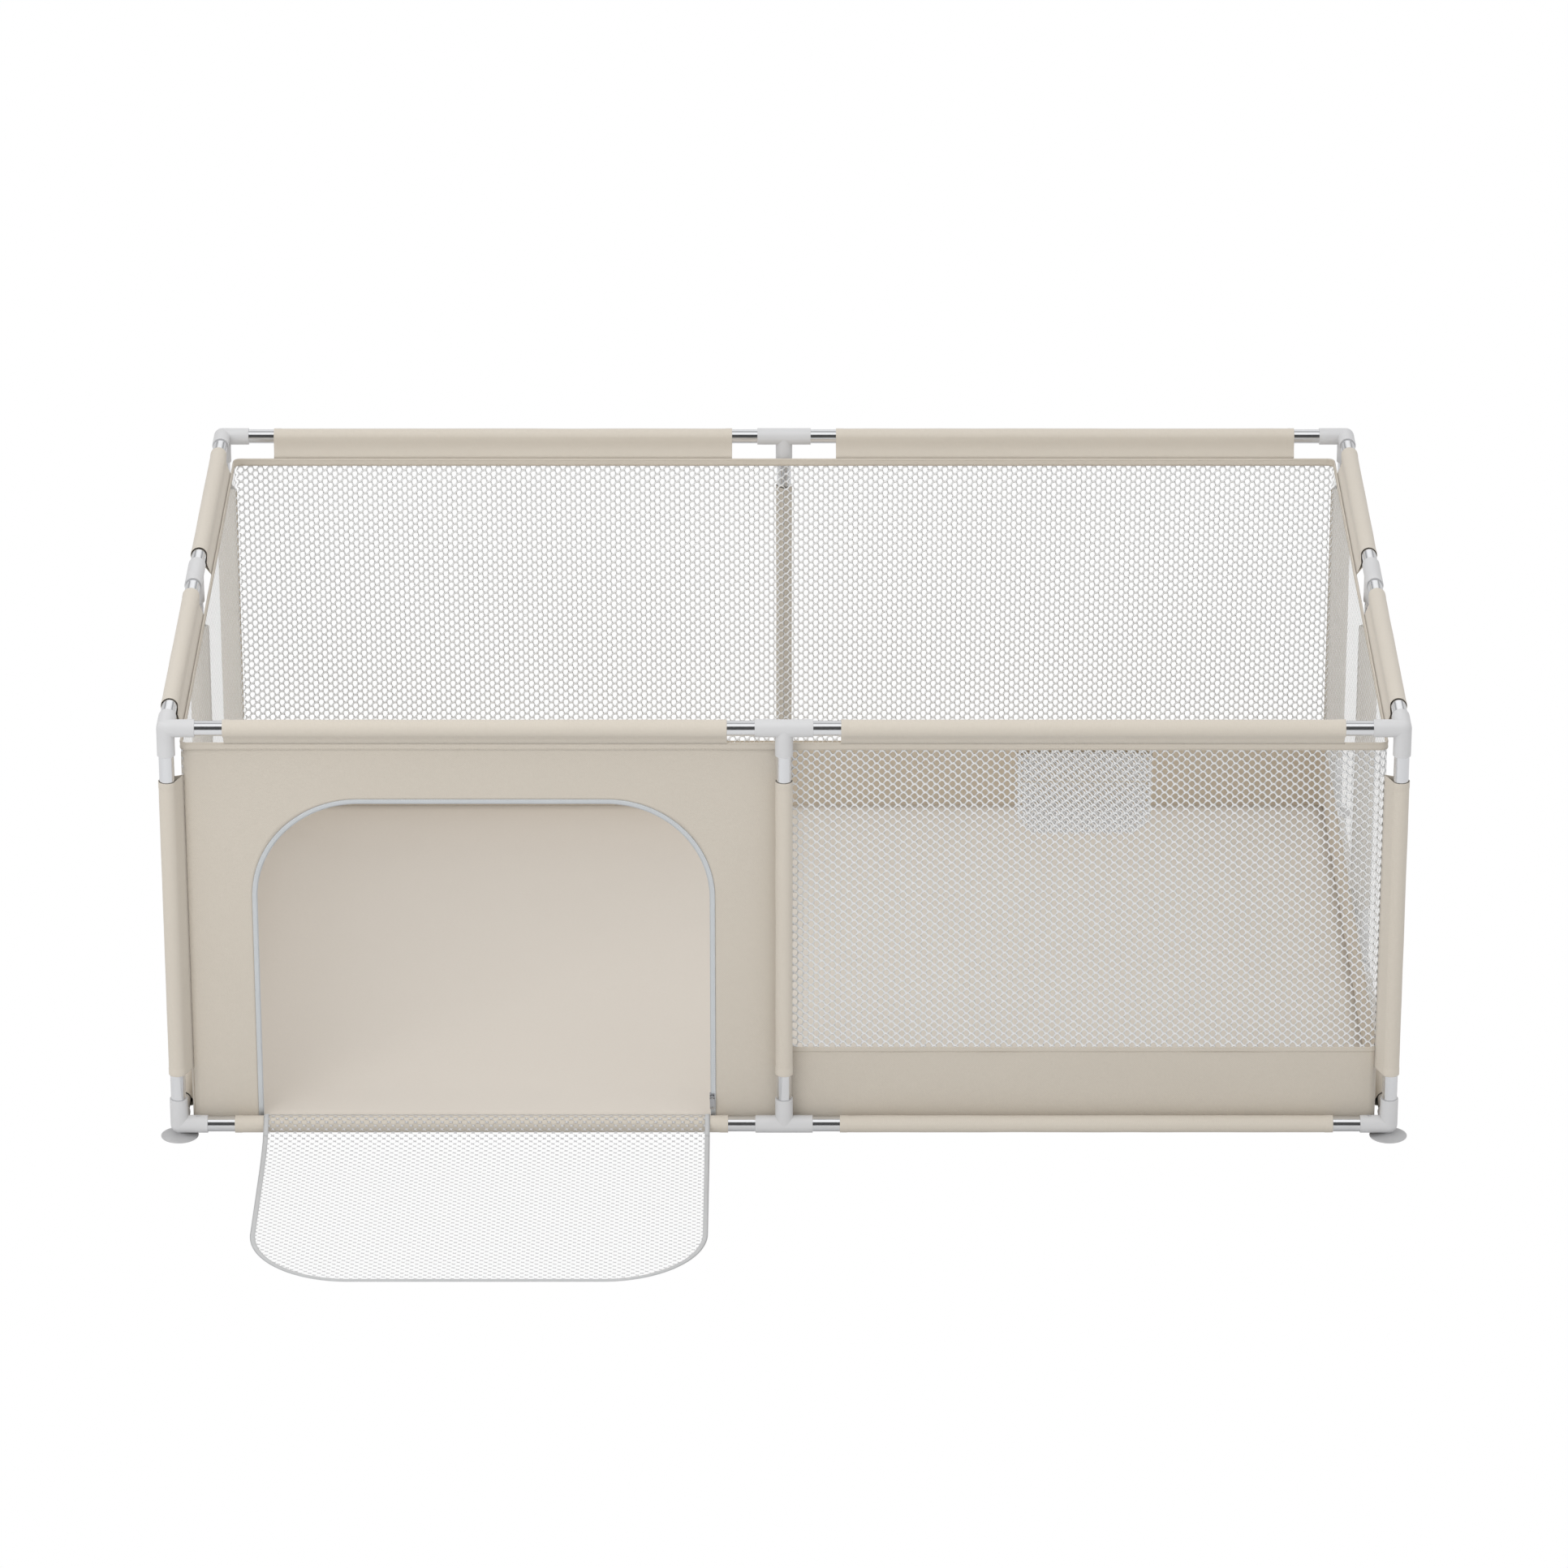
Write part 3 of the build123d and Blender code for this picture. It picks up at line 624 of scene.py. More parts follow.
# Hole outlines, seen from outside, in millimetres: wide round top, narrow foot, leaning to the left
wall_pitch = (15.67 * MM, 13.05 * MM)
wall_hole = [(3.2, -2.4), (4.2, 0.5), (2.7, 4.1), (-0.6, 5.0), (-3.6, 2.9), (-3.9, -0.4)]
wall_hole += [(-0.7, -4.7), (1.3, -5.1)]
door_pitch = (13.05 * MM, 11.2 * MM)
door_hole = [(4.1, -2.2), (4.7, 0.3), (2.8, 3.5), (0.0, 4.3), (-4.1, 2.2), (-4.7, -0.3)]
door_hole += [(-2.8, -3.5), (0.0, -4.3)]
pocket_hole = [(0.97 * x, 0.97 * y) for x, y in wall_hole]
half_bar = 0.14 * MM  # half the thickness of a net's bars
wall_cell = net_cell("wall_cell", wall_hole, *wall_pitch, half_bar, 0.3)
pocket_cell = net_cell("pocket_cell", pocket_hole, *wall_pitch, half_bar, 0.3)
door_cell = net_cell("door_cell", door_hole, *door_pitch, half_bar, 0.4)
rows_of = row_tree()
nets_of = net_tree()


def rod(name, length, width, height, sides=6):
    """A tapered rod along X for a stitch or a zip coil."""
    points, faces = [], []
    for x, share in ((-length / 2, 0.55), (0, 1.0), (length / 2, 0.55)):
        for i in range(sides):
            a = 2 * pi * i / sides
            points.append((x, cos(a) * width / 2 * share, sin(a) * height / 2 * share))
    for k in range(2):
        for i in range(sides):
            j = (i + 1) % sides
            faces.append((k * sides + i, (k + 1) * sides + i, (k + 1) * sides + j, k * sides + j)[::-1])
    faces += [tuple(range(sides)), tuple(range(3 * sides - 1, 2 * sides - 1, -1))]
    return helper(name, points, faces)


stitch = rod("stitch", 3.0 * MM, 0.7 * MM, 0.5 * MM)
hem_stitch = rod("hem_stitch", 2.6 * MM, 0.8 * MM, 0.6 * MM)
tooth = rod("tooth", 1.0 * MM, 1.0 * MM, 1.5 * MM)


def stitches(
    name, lines, facing, finish=beige_thread, shape=stitch, step=4.2 * MM, body="frame"
):
    """Stitching or a zip's coil along several lines, as one piece. A line is its points, and whether
    it is closed."""
    made = []
    for k, (points, closed) in enumerate(lines):
        inputs = {
            "Path": line_object(points, closed), "Shape": shape, "Step": step,
            "Facing": facing, "Finish": finish,
        }
        made.append(run_tree(rows_of, f"{name}_{k}", inputs, None))
    points, faces, base = [], [], 0
    for part in made:
        points += [tuple(v.co) for v in part.data.vertices]
        faces += [tuple(base + i for i in p.vertices) for p in part.data.polygons]
        base = len(points)
        bpy.data.objects.remove(part)
    return new_piece(name, points, faces, finish, body)


# ---------------------------------------------------------------- the frame
for name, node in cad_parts.items():
    if name.endswith(("_corner", "_tee")):
        finish = plastic
    elif "_rail_" in name:
        finish = steel["x" if name.startswith(("front", "back")) else "y"]
    elif name.endswith("_post"):
        finish = steel["z"]
    elif name.startswith("zip_"):
        finish = zinc
    else:
        continue
    node.data.materials.clear()
    node.data.materials.append(finish)
    node.data.polygons.foreach_set("material_index", [0] * len(node.data.polygons))


# ---------------------------------------------------------------- suction feet
rib_height = 0.16  # millimetres, above and below the cup's mean top


def suction_cup(x, y, segments=120):
    """A cup's rings from its stud over the top, round the edge and under, with fine radial ribs."""
    rings = [
        (3.95, 12.9, 0), (3.95, 5.4, 0), (4.6, 5.1, 0), (6.6, 5.0, 0), (7.3, 4.7, 0.1), (10, 4.1, 0.5),
        (14, 3.35, 1), (18, 2.65, 1), (22, 2.0, 1), (25, 1.55, 0.6), (26.8, 1.15, 0), (27.5, 0.75, 0),
        (27.4, 0.3, 0), (26.6, 0.0, 0), (24.6, 0.05, 0), (16, 1.3, 0), (7, 2.4, 0), (2, 2.5, 0),
    ]  # radius and height in millimetres, and the share of the ribs' height
    points = []
    for radius, z, rib in rings:
        for i in range(segments):
            a = 2 * pi * i / segments
            lift = rib_height * rib * (1 if i % 2 else -1)
            points.append((x + radius * MM * cos(a), y + radius * MM * sin(a), (z + lift) * MM))
    faces = []
    for k in range(0, (len(rings) - 1) * segments, segments):
        for i in range(segments):
            j = (i + 1) % segments
            faces.append((k + i, k + segments + i, k + segments + j, k + j))
    faces.append(tuple(range(segments)))
    last = (len(rings) - 1) * segments
    faces.append(tuple(range(last + segments - 1, last - 1, -1)))
    return points, faces


cup_points, cup_faces = [], []
for x in (-frame_half_w, frame_half_w):
    for y in (ring_y - frame_half_l, ring_y + frame_half_l):
        points, faces = suction_cup(x, y)
        cup_faces += [tuple(len(cup_points) + i for i in f) for f in faces]
        cup_points += points
cups = new_piece("suction_cups", cup_points, cup_faces, rubber)
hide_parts("suction_feet")


# ---------------------------------------------------------------- cloth sleeves
sleeve_r, sleeve_cloth_thick = 11.9 * MM, 0.8 * MM
sleeve_start = 82 * MM


def sleeve_outline(reach, drop, pinch):
    """The cloth's run round a tube, from the seam over the tube and back to the seam. A pinch draws
    its two sides together between the tube and the seam."""
    seam_angle, distance = atan2(-drop, reach), hypot(reach, drop)
    spread = asin(min(1, sqrt(1 - (sleeve_r / distance) ** 2))) if distance > sleeve_r else 0.3
    start, end = seam_angle + spread, seam_angle + 2 * pi - spread
    first = (sleeve_r * cos(start), sleeve_r * sin(start))
    last = (sleeve_r * cos(end), sleeve_r * sin(end))
    flats = max(2, round(distance / (7 * MM)))
    ups = range(1, flats)
    run = [(reach, -drop + 0.5 * MM)]
    run += [(reach + (first[0] - reach) * i / flats, -drop + (first[1] + drop) * i / flats) for i in ups]
    run += arc_points((0, 0), sleeve_r, start, end, 30)
    run += [(last[0] + (reach - last[0]) * i / flats, last[1] + (-drop - last[1]) * i / flats) for i in ups]
    run += [(reach, -drop - 0.5 * MM)]
    web = Vector((cos(seam_angle), sin(seam_angle)))
    side = Vector((-web.y, web.x))
    drawn = []
    for point in run:
        along, off = Vector(point).dot(web), Vector(point).dot(side)
        if pinch and along > 0.3 * sleeve_r:
            round_off = sqrt(max(sleeve_r**2 - along**2, 0))
            places = [0.3, 0.66, 1.5, distance / sleeve_r]
            lean = sleeve_r * float(np.interp(along / sleeve_r, places, [0.95, 0.75, 0.13, 0]))
            off += (max(round_off, lean) * (1 if off > 0 else -1) - off) * pinch
        drawn.append(tuple(web * along + side * off))
    return drawn


def sleeve(name, origin, towards, along, reach, drop, length, seed, pinch=0.0):
    """One sewn sleeve: the outline swept along its tube, with slack that gathers a little unevenly
    and a folded hem, 11 mm deep, at each end."""
    lift = along.cross(towards)
    outline = sleeve_outline(reach, drop, pinch)
    hem = 11 * MM
    stations = [0, 0.8 * MM, hem - 1.2 * MM, hem, hem + 2 * MM]
    inner = max(6, round((length - 2 * hem) / (22 * MM)))
    stations += [hem + (length - 2 * hem) * i / inner for i in range(1, inner)]
    stations += [length - s for s in stations[4::-1]]
    stations = sorted(set(round(s, 6) for s in stations))
    points = []
    for k, (a, b) in enumerate(outline):
        free = min(1, min(k, len(outline) - 1 - k) / 6)
        for s in stations:
            where = origin + along * s
            edge = min(s, length - s)
            puff = 0.35 * MM if edge < hem else 0
            slack = ripple((a * 3 + where.x, b * 3 + where.y, where.z), 0.06, 0.03, seed) + 0.015
            size = 1 + (slack + puff / sleeve_r) * free
            points.append(where + towards * (a * size) + lift * (b * size))
    faces = grid_faces(len(outline), len(stations))
    made = new_piece(name, points, faces, sleeve_cloth, thick=sleeve_cloth_thick)
    girth = sum(hypot(c[0] - d[0], c[1] - d[1]) for c, d in zip(outline, outline[1:]))
    return made, girth


# Each side of the frame: its first corner, the way along it, a bay's length and its bays' names
near_y, far_y = ring_y - frame_half_l, ring_y + frame_half_l
side_runs = {
    "front": (Vector((-frame_half_w, near_y, 0)), Vector((1, 0, 0)), frame_half_w, ("left", "right")),
    "right": (Vector((frame_half_w, near_y, 0)), Vector((0, 1, 0)), frame_half_l, ("front", "back")),
    "back": (Vector((frame_half_w, far_y, 0)), Vector((-1, 0, 0)), frame_half_w, ("right", "left")),
    "left": (Vector((-frame_half_w, far_y, 0)), Vector((0, -1, 0)), frame_half_l, ("back", "front")),
}
corners = dict(zip(side_runs, ("front_left", "front_right", "back_right", "back_left")))
corner_seam = (rail_gap + ring_r) * sqrt(2) - ring_r - 0.7 * MM
seed = 0
for side, (start, along, bay, halves) in side_runs.items():
    inward = UP.cross(along)
    for half, half_name in enumerate(halves):
        begin, length = start + along * (bay * half + sleeve_start), bay - 2 * sleeve_start
        for level, z, reach, drop in (
            ("top", top_rail_z, rail_gap - 1.3 * MM, 31.6 * MM),
            ("bottom", low_rail_z, rail_gap - 0.8 * MM, 8 * MM),
        ):
            seed += 1
            name, pinch = f"{side}_{level}_sleeve_{half_name}", 0.8 if level == "top" else 0.0
            made, girth = sleeve(name, begin + UP * z, inward, along, reach, drop, length, seed, pinch)
            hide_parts(f"{level}_rail_sleeves")
    post_base, post_length = low_rail_z + sleeve_start, top_rail_z - low_rail_z - 2 * sleeve_start
    for label, foot, towards, reach in (
        (f"{corners[side]}_corner", start, (along + inward).normalized(), corner_seam),
        (f"{side}_middle", start + along * bay, inward, rail_gap - 0.8 * MM),
    ):
        seed += 1
        name, base = f"{label}_post_sleeve", foot + UP * post_base
        made, girth = sleeve(name, base, towards, UP, reach, 0, post_length, seed)
        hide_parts("post_sleeves")


# ---------------------------------------------------------------- net walls
def ring_line(start, end):
    """Points of the ring, with z = 0, for a path."""
    places = [ring_place(s) for s in ring_stations(start, end, 12 * MM)]
    return [(x, y, 0) for x, y, _ in places]


net_low, net_high = skirt_high - 5 * MM, wall_high + 4 * MM
front_seam = 6 * MM
marks = ring_marks
net_spans = {
    "front_right_net": (front_seam, marks[1] + corner_run / 2, "front_right_mesh"),
    "right_net": (marks[1] + corner_run / 2, marks[3] + corner_run / 2, "right_mesh"),
    "back_net_right": (marks[3] + corner_run / 2, (marks[4] + marks[5]) / 2, "back_mesh"),
    "back_net_left": ((marks[4] + marks[5]) / 2, marks[5] + corner_run / 2, "back_mesh"),
    "left_net": (marks[5] + corner_run / 2, marks[7] + corner_run / 2, "left_mesh"),
}
for name, (start, end, node) in net_spans.items():
    px, py = wall_pitch
    middle = (start + end) / 2
    snapped = round(middle / px) * px
    columns, rows = int((end - start) / px) + 4, int((net_high - net_low) / py) + 4
    path_start = start - 4 * px if start > 5 * px else 0
    inputs = {
        "Cell": wall_cell, "Path": line_object(ring_line(path_start, end + 4 * px)),
        "Pitch X": px, "Pitch Y": py, "Columns": columns, "Rows": rows,
        "Shift": (snapped - middle, round((net_low + net_high) / 2 / py) * py, 0),
        "Half Width": (end - start) / 2, "Bottom": net_low, "Top": net_high,
        "From": net_low - py, "To": net_high + py,
        "Corner": 0.0, "Along Y": False,
        "Path Start": middle - path_start,
        "Cross": (0, 0, 1), "Cross Start": 0.0, "Finish": wall_net,
    }
    made = run_tree(nets_of, name, inputs)
    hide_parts(node)
    net_sheet(made)


# ---------------------------------------------------------------- the cloth along the walls
binding_section = [(0.95, 0), (0.95, 3), (0.98, 6), (0.95, 9), (0.85, 10.6), (0.5, 11.5), (0, 11.75)]
binding_section += [(-a, b) for a, b in binding_section[-2::-1]]
binding_stations = ring_stations(0, ring_length, 18 * MM)[:-1]
points = []
for s in binding_stations:
    x, y, normal = ring_place(s)
    sway = ripple((x, y, 0), 0.05, 0.25 * MM, 8)
    for a, b in binding_section:
        off = a * MM + sway
        points.append((x + normal[0] * off, y + normal[1] * off, wall_high + b * MM))
binding = new_piece(
    "wall_binding", points, grid_faces(len(binding_stations), len(binding_section), closed=True),
    sleeve_cloth, thick=0.5 * MM,
)
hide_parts("top_binding")

skirt_end = marks[7] + corner_run / 2
skirt_heights = [wall_low, wall_low + 2 * MM] + list(np.linspace(wall_low + 10 * MM, skirt_high - 9 * MM, 11))
skirt_heights += [skirt_high - h * MM for h in (8.4, 8, 7.6, 5, 2, 0.5, 0)]
hem_relief = ((8.4, 0.1), (8, -0.25), (7.6, 0.3), (5, 0.5), (2, 0.4), (0.5, 0.35))  # depth down, and out
hem = {round(skirt_high - h * MM, 6): o * MM for h, o in hem_relief}
# Its inner face wears the darker copy of the cloth, painted shade; the solidified other face wears the skirt
# cloth
skirt = ring_band(
    "wall_skirt", 1 * MM, skirt_end, skirt_heights, 14 * MM, skirt_inner_painted_shade, 1.0 * MM, 0.9 * MM, hem
)
skirt.data.materials.append(skirt_cloth)
skirt.modifiers["cloth_thickness"].material_offset = 1
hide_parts("wall_skirts")


def door_outline(half, bottom, top, radius, steps=26):
    """(x, z) along the doorway from its left foot over the arch to its right foot."""
    run = [(-half, bottom + (top - radius - bottom) * i / 24) for i in range(24)]
    run += arc_points((-half + radius, top - radius), radius, pi, pi / 2, steps)
    flat = 2 * (half - radius)
    run += [(-half + radius + flat * i / 20, top) for i in range(1, 20)]
    run += arc_points((half - radius, top - radius), radius, pi / 2, 0, steps)
    run += [(half, top - radius - (top - radius - bottom) * i / 24) for i in range(1, 25)]
    return run


# The panel: rows of points from the doorway's edge out to the panel's own edge
panel_left, panel_right, panel_top = -ring_w - 3 * MM, -0.5 * MM, wall_high + 3 * MM
arch = door_outline(door_half, sill_z - 1 * MM, door_top, door_r)
foot_rows = [(-door_half, wall_low + (sill_z - 1 * MM - wall_low) * i / 3) for i in range(3)]
edge = foot_rows + arch + [(-x, z) for x, z in foot_rows[::-1]]


def panel_edge(x, z):
    """Where a ray from the doorway meets the panel's outer edge."""
    left, right, top = panel_left - door_x, panel_right - door_x, panel_top
    if z <= door_top - door_r:
        return (left if x < 0 else right), z
    corner_x = -door_half + door_r if x < 0 else door_half - door_r
    if abs(x) <= door_half - door_r:
        return x, top
    dx, dz = x - corner_x, z - (door_top - door_r)
    side = left if x < 0 else right
    wide, tall = abs(side - corner_x), top - (door_top - door_r)
    share = atan2(dz, abs(dx)) / (pi / 2)
    along = share * (wide + tall)
    if along <= tall:
        return side, door_top - door_r + along
    return side + (corner_x - side) * (along - tall) / wide, top


panel_rows = 15
points = []
for k in range(panel_rows + 1):
    share = (k / panel_rows) ** 1.15
    for x, z in edge:
        ex, ez = panel_edge(x, z)
        px, pz = door_x + x + (ex - x) * share, z + (ez - z) * share
        s = ring_length + px
        ease = min(1, k / 3, (panel_rows - k) / 3)
        out = ripple((px, 0, pz * 0.6), 0.17, 1.5 * MM * ease, 5)
        out += ripple((px, 0, pz * 1.5), 0.055, 0.35 * MM * ease, 9)
        x0, y0, normal = ring_place(max(s, marks[7] + corner_run / 2 if s < marks[8] else s))
        if px < -straight_w:
            x0, y0, normal = ring_place(marks[8] - (-straight_w - px))
        points.append((x0 + normal[0] * out, y0 + normal[1] * out, pz))
faces = grid_faces(panel_rows + 1, len(edge))
base = len(points)
strip_x = np.linspace(-door_half, door_half, 60)
strip_z = [z for _, z in foot_rows] + [sill_z - 1 * MM]
for z in strip_z:
    points += [(door_x + x, front_y, z) for x in strip_x]
faces += [tuple(base + i for i in f[::-1]) for f in grid_faces(len(strip_z), len(strip_x), flip=True)]
panel = new_piece("front_left_cloth", points, faces, panel_cloth, thick=1.0 * MM)
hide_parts("front_left_panel")

# Floor sheet: sewn to the walls' foot all round, and lying a little unevenly
nx, ny = 90, 60
floor_inset = 0.8 * MM  # from the walls' middle
points = []
for j in range(ny + 1):
    for i in range(nx + 1):
        u, v = 2 * i / nx - 1, 2 * j / ny - 1
        x, y = u * (ring_w - floor_inset), v * (ring_l - floor_inset)
        over_x, over_y = abs(x) - straight_w, abs(y) - straight_l
        if over_x > 0 and over_y > 0 and hypot(over_x, over_y) > ring_r - floor_inset:
            pull = (ring_r - floor_inset) / hypot(over_x, over_y)
            x = (straight_w + over_x * pull) * (1 if x > 0 else -1)
            y = (straight_l + over_y * pull) * (1 if y > 0 else -1)
        ease = min(1, (ring_w - abs(x)) / 0.14, (ring_l - abs(y)) / 0.14)
        ease = max(0, ease) ** 2 * (3 - 2 * max(0, ease))
        z = wall_low + 12 * MM - 12.5 * MM * ease
        z += ripple((x, y, 0), 0.22, 2.0 * MM * ease, 4) + ripple((x, y, 0), 0.07, 0.5 * MM * ease, 6)
        points.append((x, y + ring_y, z))
# In the lighter copy of the cloth: painted light for the floor inside the walls
floor_mat = new_piece(
    "floor_mat", points, grid_faces(ny + 1, nx + 1), floor_cloth_painted_light, thick=1.0 * MM
)
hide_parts("floor_sheet")


# ---------------------------------------------------------------- zip round the doorway
def banded(outer, inner, count):
    """Rows of points across a band, between two outlines with the same number of points."""
    return [
        [(a[0] + (b[0] - a[0]) * k / count, a[1] + (b[1] - a[1]) * k / count) for a, b in zip(outer, inner)]
        for k in range(count + 1)
    ]


def doorway_line(inset, lift):
    """The doorway's outline at an inset, from a little above the sill."""
    return door_outline(door_half - inset, sill_z + lift, door_top - inset, door_r - inset, 40)


tape_outer, tape_inner = doorway_line(-1 * MM, 0), doorway_line(zip_band - 1 * MM, 0)
points = []
lifts = [0.7, 1.15, 1.25, 1.2, 0.9, 0.45]
for row, lift in zip(banded(tape_outer, tape_inner, 5), lifts):
    points += [(door_x + x, front_y - lift * MM, z) for x, z in row]
tape = new_piece(
    "doorway_zip_tape", points, grid_faces(6, len(tape_outer)), zip_tape, thick=0.5 * MM
)
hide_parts("door_zipper_tape")
coil_line = doorway_line(zip_band - 0.5 * MM, 1 * MM)
stitches(
    "doorway_zip_coil", [([(door_x + x, front_y - 0.1 * MM, z) for x, z in coil_line], False)],
    (0, -1, 0), coil, tooth, 1.5 * MM,
)
seam_line = doorway_line(0.2 * MM, 2 * MM)
stitches(
    "doorway_zip_seam", [([(door_x + x, front_y - 1.55 * MM, z) for x, z in seam_line], False)],
    (0, -1, 0), white_thread, hem_stitch, 3.6 * MM,
)

# ---------------------------------------------------------------- the door's flap, laid over the rail
# Its side view, in millimetres out from the wall and up from the floor: from the sill straight up to
# the bottom rail's sleeve, round over it, and down in a sag to the floor
sag = [(29.6, 27.25), (36, 20.2), (44, 14.6), (52, 10.8), (61, 8.1), (72, 5.9), (83, 4.5), (96, 3.3)]
sag += [(109, 2.4), (122, 1.6), (135, 1.15), (150, 1.0)]
crest_r = 13.5
to_axis = Vector((rail_gap / MM, (low_rail_z - sill_z) / MM))
climb = atan2(to_axis.y, to_axis.x) + asin(crest_r / to_axis.length)
drape = [(0.0, sill_z / MM)]
free_run = sqrt(to_axis.length**2 - crest_r**2)
drape += [(free_run * k / 4 * cos(climb), sill_z / MM + free_run * k / 4 * sin(climb)) for k in range(1, 4)]
drape += arc_points((to_axis.x, low_rail_z / MM), crest_r, pi / 2 + climb, radians(38), 14)
drape += [p for p in sag if p[0] > drape[-1][0] + 2]
drape += [(150 + 12 * k, 1.0) for k in range(1, 33)]
for _ in range(2):  # ease the joins between the straight, the round and the sag
    threes = zip(drape, drape[1:], drape[2:])
    eased = [((a[0] + 2 * b[0] + c[0]) / 4, (a[1] + 2 * b[1] + c[1]) / 4) for a, b, c in threes]
    drape = drape[:1] + eased + drape[-1:]
drape_steps = [hypot(b[0] - a[0], b[1] - a[1]) for a, b in zip(drape, drape[1:])]
drape_runs = np.concatenate([[0], np.cumsum(drape_steps)]) * MM
drape_out, drape_up = zip(*drape)
# The flap's length along this path, out to where its tip lies
flap_length = float(np.interp((front_y - low("door_flap_tape").y) / MM, drape_out, drape_runs))


def flap_place(x, s, lift=0.0):
    """A point of the laid flap, from its flat cut: x across from its middle, s from the sill."""
    out, ahead = (float(np.interp(run, drape_runs, drape_out)) * MM for run in (s, s + 1 * MM))
    z, z_ahead = (float(np.interp(run, drape_runs, drape_up)) * MM for run in (s, s + 1 * MM))
    t = Vector((ahead - out, z_ahead - z)).normalized() if ahead > out else Vector((1, 0))
    normal = Vector((0, t.y, t.x))
    return Vector((door_x + x, front_y - out, z)) + normal * lift


split_s = 56.26 * MM  # where the piece over the rail ends, on a row of holes
flap_parts = {
    "door_net_over_rail": (0.0, split_s, ("door_sill", "door_fold"), ("door_flap_sill", "door_flap_fold")),
    "door_net_on_floor": (split_s, flap_length, ("door_fold", "door"), ("door_flap",)),
}
px, py = door_pitch
for name, (start, end, bodies, nodes) in flap_parts.items():
    path = [(0, front_y - out * MM, z * MM) for out, z in drape]
    inputs = {
        "Cell": door_cell, "Path": line_object(path), "Pitch X": px, "Pitch Y": py,
        "Columns": int(2 * flap_half / px) + 4, "Rows": int(flap_length / py) + 5,
        "Shift": (0, round(flap_length / 2 / py) * py, 0),
        "Half Width": flap_half - 2 * MM, "Bottom": 0.0, "Top": flap_length - 2 * MM,
        "From": start if start else -py, "To": end if start == 0 else end + py,
        "Corner": flap_r - 2 * MM, "Along Y": True,
        "Path Start": 0.0, "Cross": (1, 0, 0), "Cross Start": door_x, "Finish": door_net,
    }
    made = run_tree(nets_of, name, inputs, None)
    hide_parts(*nodes)
    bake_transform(made)
    net_sheet(made)


def flap_outline(inset, start, end):
    """(x, s) along the flap's edge at an inset, between two distances from the sill."""
    half, top, radius = flap_half - inset, flap_length - inset, flap_r - inset
    count = max(2, round((min(end, top - radius) - start) / (4 * MM)))
    last = min(end, top - radius)
    left = [(-half, start + (last - start) * i / count) for i in range(count + 1)]
    if end < top - radius:
        return left, [(-x, s) for x, s in left[::-1]]
    arch = arc_points((-half + radius, top - radius), radius, pi, pi / 2, 40)[1:]
    flat = 2 * (half - radius)
    arch += [(-half + radius + flat * i / 24, top) for i in range(1, 24)]
    arch += arc_points((half - radius, top - radius), radius, pi / 2, 0, 40)[:-1]
    return (left + arch + [(-x, s) for x, s in left[::-1]],)


for name, start, end, bodies in (
    ("door_edge_over_rail", 0.0, split_s, ("door_sill", "door_fold")),
    ("door_edge_on_floor", split_s, flap_length, ("door_fold", "door")),
):
    points, faces, coil_lines = [], [], []
    lifts = [0.1, 0.55, 0.75, 0.75, 0.55, 0.1]
    outlines = [flap_outline(flap_band * k / 5, start, end) for k in range(6)]
    for strip in range(len(outlines[0])):
        base, length = len(points), len(outlines[0][strip])
        for row, lift in zip(outlines, lifts):
            points += [flap_place(x, s, lift * MM) for x, s in row[strip]]
        faces += [tuple(base + i for i in f) for f in grid_faces(6, length)]
        rim = flap_outline(-0.4 * MM, start, end)[strip]
        coil_lines.append(([flap_place(x, s) for x, s in rim], False))
    made = new_piece(name, points, faces, edge_tape, None, 0.6 * MM)
    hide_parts(*(("door_flap_tape",) if "floor" in name else ()))
    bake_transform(made)
    coil_name = name.replace("edge", "coil")
    teeth = stitches(coil_name, coil_lines, (0, 0, 1), edge_tape, tooth, 1.5 * MM, None)
    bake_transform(teeth)


# ---------------------------------------------------------------- toy pocket
pocket_low, pocket_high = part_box("toy_pocket")
pocket_x, pocket_half = (pocket_low.x + pocket_high.x) / 2, (pocket_high.x - pocket_low.x) / 2
pocket_r, pocket_mouth = 40 * MM, pocket_high.z - 50 * MM
pocket_back = front_y + 1.3 * MM
pouch_depth, hole_shift = 22 * MM, 3.1 * MM
px, py = wall_pitch


def belly(up):
    """How far the pouch stands out, as a share, from its bottom (0) to its mouth (1)."""
    return sin(radians(135) * up**0.8)


def pocket_layer(name, top, bulge, start_y):
    """A layer of net on the wall's inner face: flat, or bellied towards its mouth."""
    height = top - pocket_low.z
    path = [(0, start_y + bulge * belly(k / 20), pocket_low.z + height * k / 20) for k in range(21)]
    length = sum((Vector(b) - Vector(a)).length for a, b in zip(path, path[1:]))
    inputs = {
        "Cell": pocket_cell, "Path": line_object(path[::-1]), "Pitch X": px, "Pitch Y": py,
        "Columns": int(2 * pocket_half / px) + 3, "Rows": int(length / py) + 4,
        "Shift": (hole_shift, length / 2 + 2 * MM, 0), "Half Width": pocket_half, "Bottom": 0.0,
        "Top": length,
        "From": -py, "To": length + py, "Corner": pocket_r, "Along Y": True, "Path Start": 0.0,
        "Cross": (1, 0, 0), "Cross Start": pocket_x, "Finish": pocket_net,
    }
    made = run_tree(nets_of, name, inputs)
    for v in made.data.vertices:  # the sides are sewn down
        v.co.y = start_y + (v.co.y - start_y) * (1 - min(1, abs(v.co.x - pocket_x) / pocket_half) ** 6)
    net_sheet(made)
    return made


